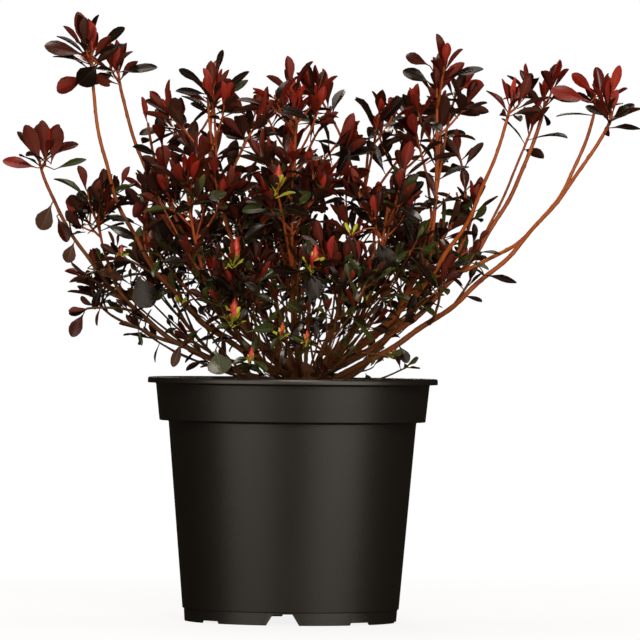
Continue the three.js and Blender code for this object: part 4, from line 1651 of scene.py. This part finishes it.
def tuft_leaves(tip, mood, openness=1.0):
    """One tuft's leaves, as rows of LEAF_FIELDS. Rank goes from 0, the oldest, to 1."""
    place, axis, draw = tip.bend.at(1.0), tip.bend.along(1.0), tip.draw
    stretch = CREST_STRETCH if tip.featured else TUFT_STRETCH
    rows = []
    first_turn = between(draw, 0, ROUND)
    for k in range(tip.leaves):
        rank = k / max(1, tip.leaves - 1)
        loose = 1.1 - rank
        tilt = openness * (TUFT["tilt"] - TUFT["tilt_fall"] * rank**0.7)
        tilt += swing(draw, TUFT["tilt_play"]) * loose
        along = leaning(axis, first_turn + k * GOLDEN_ANGLE, tilt)
        above = squared(axis + UP * 0.2, along)
        roll = swing(draw, TUFT["roll"]) * loose
        above = above * math.cos(roll) + np.cross(along, above) * math.sin(roll)
        root = place - axis * stretch * (1 - rank) * tip.leaf + along * 0.5
        length = tip.leaf * between(draw, *TUFT["length"]) * (1 - TUFT["short"] * rank**4)
        width = between(draw, *TUFT["width"]) + TUFT["width_rise"] * rank
        bend = between(draw, *TUFT["bend"]) + TUFT["bend_old"] * (1 - rank) * draw()
        bend -= TUFT["bend_young"] * rank**2
        cup = between(draw, *TUFT["cup"]) + TUFT["cup_rise"] * rank
        wave, twist = between(draw, 0, ANY_PHASE), swing(draw, TUFT["twist"])
        kind = KINDS.index(kind_for(rank, mood, draw))
        rows.append((root, along, above, length, width, bend, cup, wave, twist, kind))
    return rows


# %% [markdown]
# ### Lone leaves
#
# Some single leaves catch the eye: the large old ones that hang from bare stems, the ones that
# arch away from the outermost tufts, and a few fresh lime ones. They are placed one by one. Each
# row has the leaf's root and tip as x and z, its depth y, its width, and how far its upper
# side is turned up from the front, in degrees. Where a leaf stands off from all wood, a thin
# twig holds it.

# %% Lone leaves
Lone = namedtuple("Lone", "x z tip_x tip_z y width turned kind")
LONE = dict(
    deep=(-6, 4),  # how far the tip may stand in front of its root, or behind
    longer=1.05,  # a leaf is longer than its span, because its bend brings the tip back
    bend=(0.02, 0.35),
    cup=0.18,
    twist=0.2,
)
HOLDER_SAG = 0.15  # how far a holding twig bows up, as a share of its length
HOLDER_GAP = 2  # a leaf this near to wood needs none
LONE_LEAVES = (
    Lone(-201, 358, -212, 390, -18, 13, 150, "bronze"),
    Lone(-197, 358, -200, 393, -14, 12, 150, "bronze"),
    Lone(-193, 360, -187, 389, -16, 12, 150, "bronze"),
    Lone(-203, 357, -230, 363, -12, 11, 40, "ruby"),
    Lone(-191, 356, -167, 365, -8, 8, 40, "moss"),
    Lone(-192, 329, -201, 309, -12, 15, 25, "umber"),
    Lone(-174, 299, -180, 283, -12, 11, 30, "umber"),
    Lone(-188, 319, -179, 300, -14, 11, 45, "bronze"),
    Lone(-163, 278, -136, 272, -20, 14, 50, "umber"),
    Lone(-124, 274, -113, 249, -50, 22, -42, "night"),
    Lone(-166, 243, -176, 225, 0, 11, 35, "bronze"),
    Lone(-123, 231, -120, 218, -10, 4, 70, "moss"),
    Lone(-87, 221, -94, 202, -60, 8, 40, "umber"),
    Lone(-155, 438, -169, 422, -60, 21, -36, "night"),
    Lone(-165, 428, -187, 418, -52, 16, 150, "wine"),
    Lone(-165, 445, -196, 452, -50, 14, 40, "bronze"),
    Lone(-71, 423, -91, 435, -30, 9, 45, "night"),
    Lone(-69, 416, -92, 419, -30, 8, 45, "night"),
    Lone(-58, 419, -38, 434, -24, 9, 45, "night"),
    Lone(-58, 414, -39, 428, -10, 9, 45, "moss"),
    Lone(-63, 432, -59, 452, -16, 6, 60, "night"),
    Lone(106, 441, 88, 449, -10, 11, 40, "bronze"),
    Lone(107, 427, 86, 438, -10, 12, 40, "night"),
    Lone(122, 434, 147, 441, 10, 10, 40, "night"),
    Lone(130, 424, 148, 429, 12, 12, 130, "ruby"),
    Lone(-154, 451, -136, 467, -45, 13, 50, "night"),
    Lone(-143, 436, -113, 441, 60, 11, 35, "night"),
    Lone(-164, 448, -172, 478, -45, 12, 150, "bronze"),
    Lone(-160, 449, -162, 471, -48, 10, 150, "scarlet"),
    Lone(237, 421, 220, 436, 10, 11, 40, "ruby"),
    Lone(234, 414, 204, 424, 0, 14, 40, "ruby"),
    Lone(248, 415, 255, 442, -20, 8, 160, "scarlet"),
    Lone(250, 401, 262, 409, -30, 11, 40, "night"),
    Lone(247, 393, 272, 395, -25, 9, 50, "night"),
    Lone(145, 294, 162, 294, -30, 7, 60, "night"),
    Lone(150, 276, 175, 271, -30, 9, 45, "night"),
    Lone(83, 220, 90, 207, -60, 9, 30, "night"),
    Lone(-20, 339, -16, 318, -130, 16, -20, "night"),
    Lone(65, 301, 73, 279, -120, 21, -44, "night"),
    Lone(90, 290, 109, 271, -110, 9, 50, "night"),
    Lone(-51, 283, -41, 264, -125, 15, 30, "night"),
    Lone(10, 279, 18, 257, -130, 16, -42, "night"),
    Lone(-60, 215, -55, 197, -100, 20, -38, "moss"),
    Lone(-36, 229, -13, 234, -115, 11, 40, "moss"),
    Lone(-113, 322, -103, 300, -70, 17, -20, "night"),
    Lone(-113, 332, -127, 320, -60, 13, 140, "bronze"),
    Lone(44, 305, 40, 315, -110, 3, 30, "lime"),
    Lone(45, 305, 49, 314, -110, 3, 30, "lime"),
    Lone(-89, 248, -92, 257, -60, 3, 30, "lime"),
    Lone(-88, 248, -84, 256, -60, 3, 30, "lime"),
)


def hold_lone_leaves():
    """A thin twig from the nearest wood to each lone leaf that stands off."""
    shares = np.linspace(0.2, 1.0, 40)
    carriers = [*bends.values(), *(piece.bend for piece in wood)]
    places = np.concatenate([bend.at(shares) for bend in carriers])
    for leaf in LONE_LEAVES:
        end = np.array((leaf.x, leaf.y, leaf.z), float)
        spans = np.linalg.norm(places - end, axis=1)
        root = places[np.argmin(spans)]
        if spans.min() > HOLDER_GAP:
            middle = (root + end) / 2 + UP * HOLDER_SAG * spans.min()
            wood.append(Wood(Bend(root, middle, end), *WOOD_SIZES["holder"]))


def lone_rows():
    draw = seeded(SEED * 13)
    rows = []
    for leaf in LONE_LEAVES:
        span = np.array((leaf.tip_x - leaf.x, between(draw, *LONE["deep"]), leaf.tip_z - leaf.z))
        length = float(np.linalg.norm(span)) * LONE["longer"]
        turned = math.radians(leaf.turned)
        above = squared(np.array((0, -math.cos(turned), math.sin(turned))), unit(span))
        bend, wave = between(draw, *LONE["bend"]), ANY_PHASE * draw()
        shape = (length, leaf.width / length, bend, LONE["cup"], wave, LONE["twist"])
        root = np.array((leaf.x, leaf.y, leaf.z), float)
        rows.append((root, unit(span), above, *shape, KINDS.index(leaf.kind)))
    return rows


hold_lone_leaves()
print(len(LONE_LEAVES), "lone leaves are placed")


# %% All leaves
SHADED_BY = 30  # spurs and whips are coloured as if they stood this much lower
SPREAD_MORE = 1.05  # and their leaves spread a little more


def dress():
    """The leaves that may still be dropped for an opening, and those that are held in place."""
    free, held = [], lone_rows()
    for tip in tips:
        mood = tuft_mood(tip.bend.at(1.0)[2], tip.draw)
        (held if tip.featured else free).extend(tuft_leaves(tip, mood))
    for tip in spurs + whips:
        mood = tuft_mood(tip.bend.at(1.0)[2] - SHADED_BY, tip.draw)
        free.extend(tuft_leaves(tip, mood, SPREAD_MORE))
    return as_fields(free), as_fields(held)


free_leaves, held_leaves = dress()
print(len(free_leaves["length"]) + len(held_leaves["length"]), "leaves to begin with")

# %% [markdown]
# ### Leaves that stay
#
# A leaf is dropped where it would cross a limb, reach out of the solids' own box, or sink into
# the pot or the compost. The free ones are also dropped where they would fill an opening or
# hide a bud.

# %% Leaves that stay
BOX_SLACK = 2.0  # how far a leaf may reach past the solids' box
POT_ROOM = dict(over=1.5, inside=5.0, soil=2.0)  # kept from the rim, the band and the compost
LIMB_ROOM = 0.5
LIMB_MARKS = 5  # mm between the places where a limb is looked at
BLOCK = 400  # leaves that are compared with a limb at once, to save memory
BUD_ROOM = dict(around=9.0, behind=4.0)  # kept free round a bud's middle, as seen
BUD_MIDDLE = 0.4  # where that is, as a share of its length


def blades(points, last=8):
    """Places along the middle of each leaf, from its third station on."""
    return points[:, RIB_COLUMN :: len(ACROSS)][:, 2:last]


def fitting(rows):
    points = leaf_points(rows)
    low, high = (np.array(corner) / MM for corner in cad_box)
    fits = ((points > low - BOX_SLACK) & (points < high + BOX_SLACK)).all((1, 2))
    over_rim = points[..., 2] > POT["height"] + POT_ROOM["over"]
    reach = np.hypot(points[..., 0], points[..., 1])
    within_rim = reach < POT["band_foot"] - POT_ROOM["inside"]
    over_soil = points[..., 2] > SOIL_TOP + POT_ROOM["soil"]
    fits &= ((over_rim | within_rim) & over_soil).all(1)
    blade = blades(points, 7)
    for limb in LIMBS:
        bend = bends[limb.name]
        marks = bend.at(np.linspace(0, 1, max(4, int(bend.length / LIMB_MARKS))))
        for start in range(0, len(blade), BLOCK):
            block = blade[start : start + BLOCK]
            gaps = np.linalg.norm(block[:, :, None] - marks[None, None], axis=-1).min((1, 2))
            fits[start : start + BLOCK] &= gaps > limb.tip * SLIM + LIMB_ROOM
    return only(rows, fits)


def clear_of_view(rows):
    """Drops the leaves that would fill an opening or hide a bud from the front."""
    points = blades(leaf_points(rows))
    hides = in_opening(points).any(1)
    for tuft in FEATURED:
        if tuft.bud:
            bud = np.array((tuft.x, tuft.y, tuft.z + tuft.bud * BUD_MIDDLE), float)
            near = np.linalg.norm(seen(points) - seen(bud), axis=-1) < BUD_ROOM["around"]
            hides |= (near & (points[..., 1] < tuft.y + BUD_ROOM["behind"])).any(1)
    return only(rows, ~hides)


free_leaves = clear_of_view(fitting(free_leaves))
held_leaves = fitting(held_leaves)
leaves = {field: np.concatenate([free_leaves[field], held_leaves[field]]) for field in LEAF_FIELDS}
print(len(leaves["length"]), "leaves stay")

# %% [markdown]
# ### Twigs
#
# The twigs are swept tubes like the limbs, with finer scars. High up they are this year's
# orange brown growth, and below they are brown and dull. On the left, where the low ones stand
# in the shade of the crown, they are darker still.

# %% Twigs as a mesh
TWIG_SIDES = (8, 7, 6, 6)  # by rank
TWIG_RINGS = 1.9  # mm from one ring to the next
LOW_WOOD = 290.0  # below this height twigs are brown
LOW_PLAY = 25  # how far chance moves that height
SHADED_WOOD = -35.0  # and left of this line they are darker
TWIG_SCARS = dict(apart=(5, 8), height=0.22, across=0.9)
TWIG_SWAY = 0.35


def twig_bark(name, dark, light):
    finish = Finish(name, sheen=0.25)
    streaks = finish.noise(300.0, 3.0, (1.0, 1.0, 0.4))
    finish.drive(colour=finish.mix(streaks, dark, light), roughness=0.5 + streaks * 0.15)
    return finish.bump(streaks, 0.35, 0.0004).material


def stand_for_masses(piece):
    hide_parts(*(f"foliage_{name}" for name in MASSES))
    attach(piece, "root")


def make_twigs():
    body = Gathered()
    for index, (bend, foot, tip, rank) in enumerate(wood):
        draw = seeded(SEED * 3 + index)

        def radius_at(shares, foot=foot, tip=tip):
            return tip + (foot - tip) * (1 - shares)

        middle = bend.at(0.5)
        low = middle[2] + swing(draw, LOW_PLAY) < LOW_WOOD
        tint = 0 if not low else 1 if middle[0] > SHADED_WOOD else 2
        apart = between(draw, *TWIG_SCARS["apart"])
        relief = scars(draw, apart, TWIG_SCARS["height"], TWIG_SCARS["across"])
        sway, phase = TWIG_SWAY * (rank > 0), between(draw, 0, ANY_PHASE)
        sweep(body, bend, radius_at, TWIG_SIDES[rank], TWIG_RINGS, relief, sway, phase, tint)
    finishes = [
        twig_bark("shoot_bark", linear(104, 43, 16), linear(158, 76, 27)),
        twig_bark("low_bark", linear(58, 32, 12), linear(118, 69, 26)),
        twig_bark("shaded_bark", linear(38, 23, 9), linear(88, 52, 21)),
    ]
    stand_for_masses(body.build("twigs", finishes))


make_twigs()

# %% [markdown]
# ### Leaf colours
#
# Each kind of leaf wears three plain colours: its upper side, its underside and its midrib.
# Over a leaf only the gloss changes, and a fine leathery bump breaks it up. A pattern of veins
# would be lost on leaves this small, and their shape already shows the midrib as a groove
# above and a ridge below.

# %% Leaf finishes
# kind: (upper side, underside, midrib, roughness above)
LEAF_COLOURS = {
    "night": ((20, 12, 7), (54, 25, 14), (46, 33, 23), 0.25),
    "bronze": ((50, 16, 6), (80, 24, 11), (80, 34, 17), 0.28),
    "wine": ((74, 15, 6), (96, 22, 10), (104, 35, 19), 0.30),
    "ruby": ((104, 19, 7), (120, 27, 13), (132, 42, 23), 0.33),
    "scarlet": ((124, 26, 12), (142, 39, 23), (166, 62, 40), 0.42),
    "moss": ((40, 46, 17), (66, 70, 32), (74, 80, 42), 0.28),
    "umber": ((62, 37, 23), (104, 66, 49), (104, 74, 54), 0.50),
    "lime": ((140, 144, 28), (156, 158, 50), (170, 170, 74), 0.50),
}
UNDER_ROUGHNESS = 0.62
RIB_ROUGHNESS = 0.45
PIECE_LEAVES = 1100  # a piece with more leaves than this is made as two or more


def leaf_finishes(kind):
    """The finishes of the upper side, the underside and the midrib: tints 0, 1 and 2."""
    upper, under, rib, roughness = LEAF_COLOURS[kind]
    sides = (
        ("upper", upper, roughness),
        ("under", under, UNDER_ROUGHNESS),
        ("rib", rib, RIB_ROUGHNESS),
    )
    made = []
    for side, colour, rough in sides:
        finish = Finish(f"{kind}_{side}", colour=linear(*colour), sheen=0.23)
        leather = finish.noise(520.0, 2.0)
        finish.drive(roughness=rough - 0.08 + leather * 0.16)
        made.append(finish.bump(leather, 0.3, 0.0004).material)
    return made


def leaf_piece(name, rows, kind):
    """One mesh of many leaves of a kind."""
    points = leaf_points(rows)
    count, corners = points.shape[:2]
    starts = (np.arange(count) * corners)[:, None, None]
    tops, unders = (np.tile(np.where(IS_RIB, 2, side), count) for side in (0, 1))
    groups = ((TOP_FACES, tops), (UNDER_FACES, unders), (CAP_FACES, 1))
    body = Gathered()
    body.add(points, *(((faces + starts).reshape(-1, faces.shape[1]), tint) for faces, tint in groups))
    stand_for_masses(body.build(name, leaf_finishes(kind), crease=60))


def make_leaves():
    for index, kind in enumerate(KINDS):
        chosen = np.flatnonzero(leaves["kind"] == index)
        parts = math.ceil(len(chosen) / PIECE_LEAVES)
        for part in range(parts):
            numbers = np.array_split(chosen, parts)[part]
            leaf_piece(f"{kind}_leaves_{part + 1}", only(leaves, numbers), kind)


make_leaves()

# %% [markdown]
# ### Buds
#
# Azalea buds are red cones of overlapping scales. Each stands in a ruff of narrow lime green
# bracts, which are short leaves by another name, so they are made as those.

# %% Buds
BUD = dict(tall=1.2, wide=0.24, scales=0.14, lean=0.15, sides=12, rings=0.8)
RUFF = dict(bracts=8, length=1.05, width=0.34, openness=(0.3, 0.8))


def bud_finish():
    finish = Finish("coral_bud", sheen=0.4)
    scales = finish.noise(500.0, 3.0, (1.0, 1.0, 0.4))
    tone = finish.mix(scales, linear(128, 26, 17), linear(186, 60, 42))
    return finish.drive(colour=tone, roughness=0.45).material


def add_bud(buds, tuft, tip, axis):
    """A cone that is widest low down, with three rows of scales that wind up it."""
    middle = tip + axis * tuft.bud * BUD["tall"] / 2
    bend = Bend(tip, middle, tip + (axis + UP * 0.1) * tuft.bud * BUD["tall"])

    def radius_at(shares):
        cone = np.sin(np.pi * np.clip(shares, 0.08, 0.985) ** 0.75) ** 0.8
        return tuft.bud * BUD["wide"] * cone

    def scales(travel, angles, radii):
        return BUD["scales"] * radii * np.cos(3 * angles[None] + travel[:, None] * 1.1)

    sweep(buds, bend, radius_at, BUD["sides"], BUD["rings"], scales)


def make_buds():
    buds, ruff = Gathered(), []
    for index, tuft in enumerate(tuft for tuft in FEATURED if tuft.bud):
        draw = seeded(SEED * 17 + index)
        tip = np.array((tuft.x, tuft.y, tuft.z), float)
        axis = unit(np.array((swing(draw, BUD["lean"]), -BUD["lean"], 1.0)))
        add_bud(buds, tuft, tip, axis)
        short_bend = Bend(tip - axis * 2, tip - axis, tip)
        bracts = Tip(short_bend, RUFF["bracts"], tuft.bud * RUFF["length"], draw, False)
        for row in tuft_leaves(bracts, Mood(0, 0), between(draw, *RUFF["openness"])):
            ruff.append((*row[:4], RUFF["width"], *row[5:9], KINDS.index("lime")))
    stand_for_masses(buds.build("buds", [bud_finish()]))
    leaf_piece("bracts", as_fields(ruff), "lime")


make_buds()

# %% [markdown]
# ## Size
#
# The dressed shrub has to keep to the size of its solids. The last step prints, for each axis,
# how far it reaches past the solids' box at either end.

# %% Boxes
visual_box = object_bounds()
for axis, low, high, cad_low, cad_high in zip("xyz", *visual_box, *cad_box):
    print(axis, round((low - cad_low) / MM, 1), round((high - cad_high) / MM, 1), "mm past the solids")
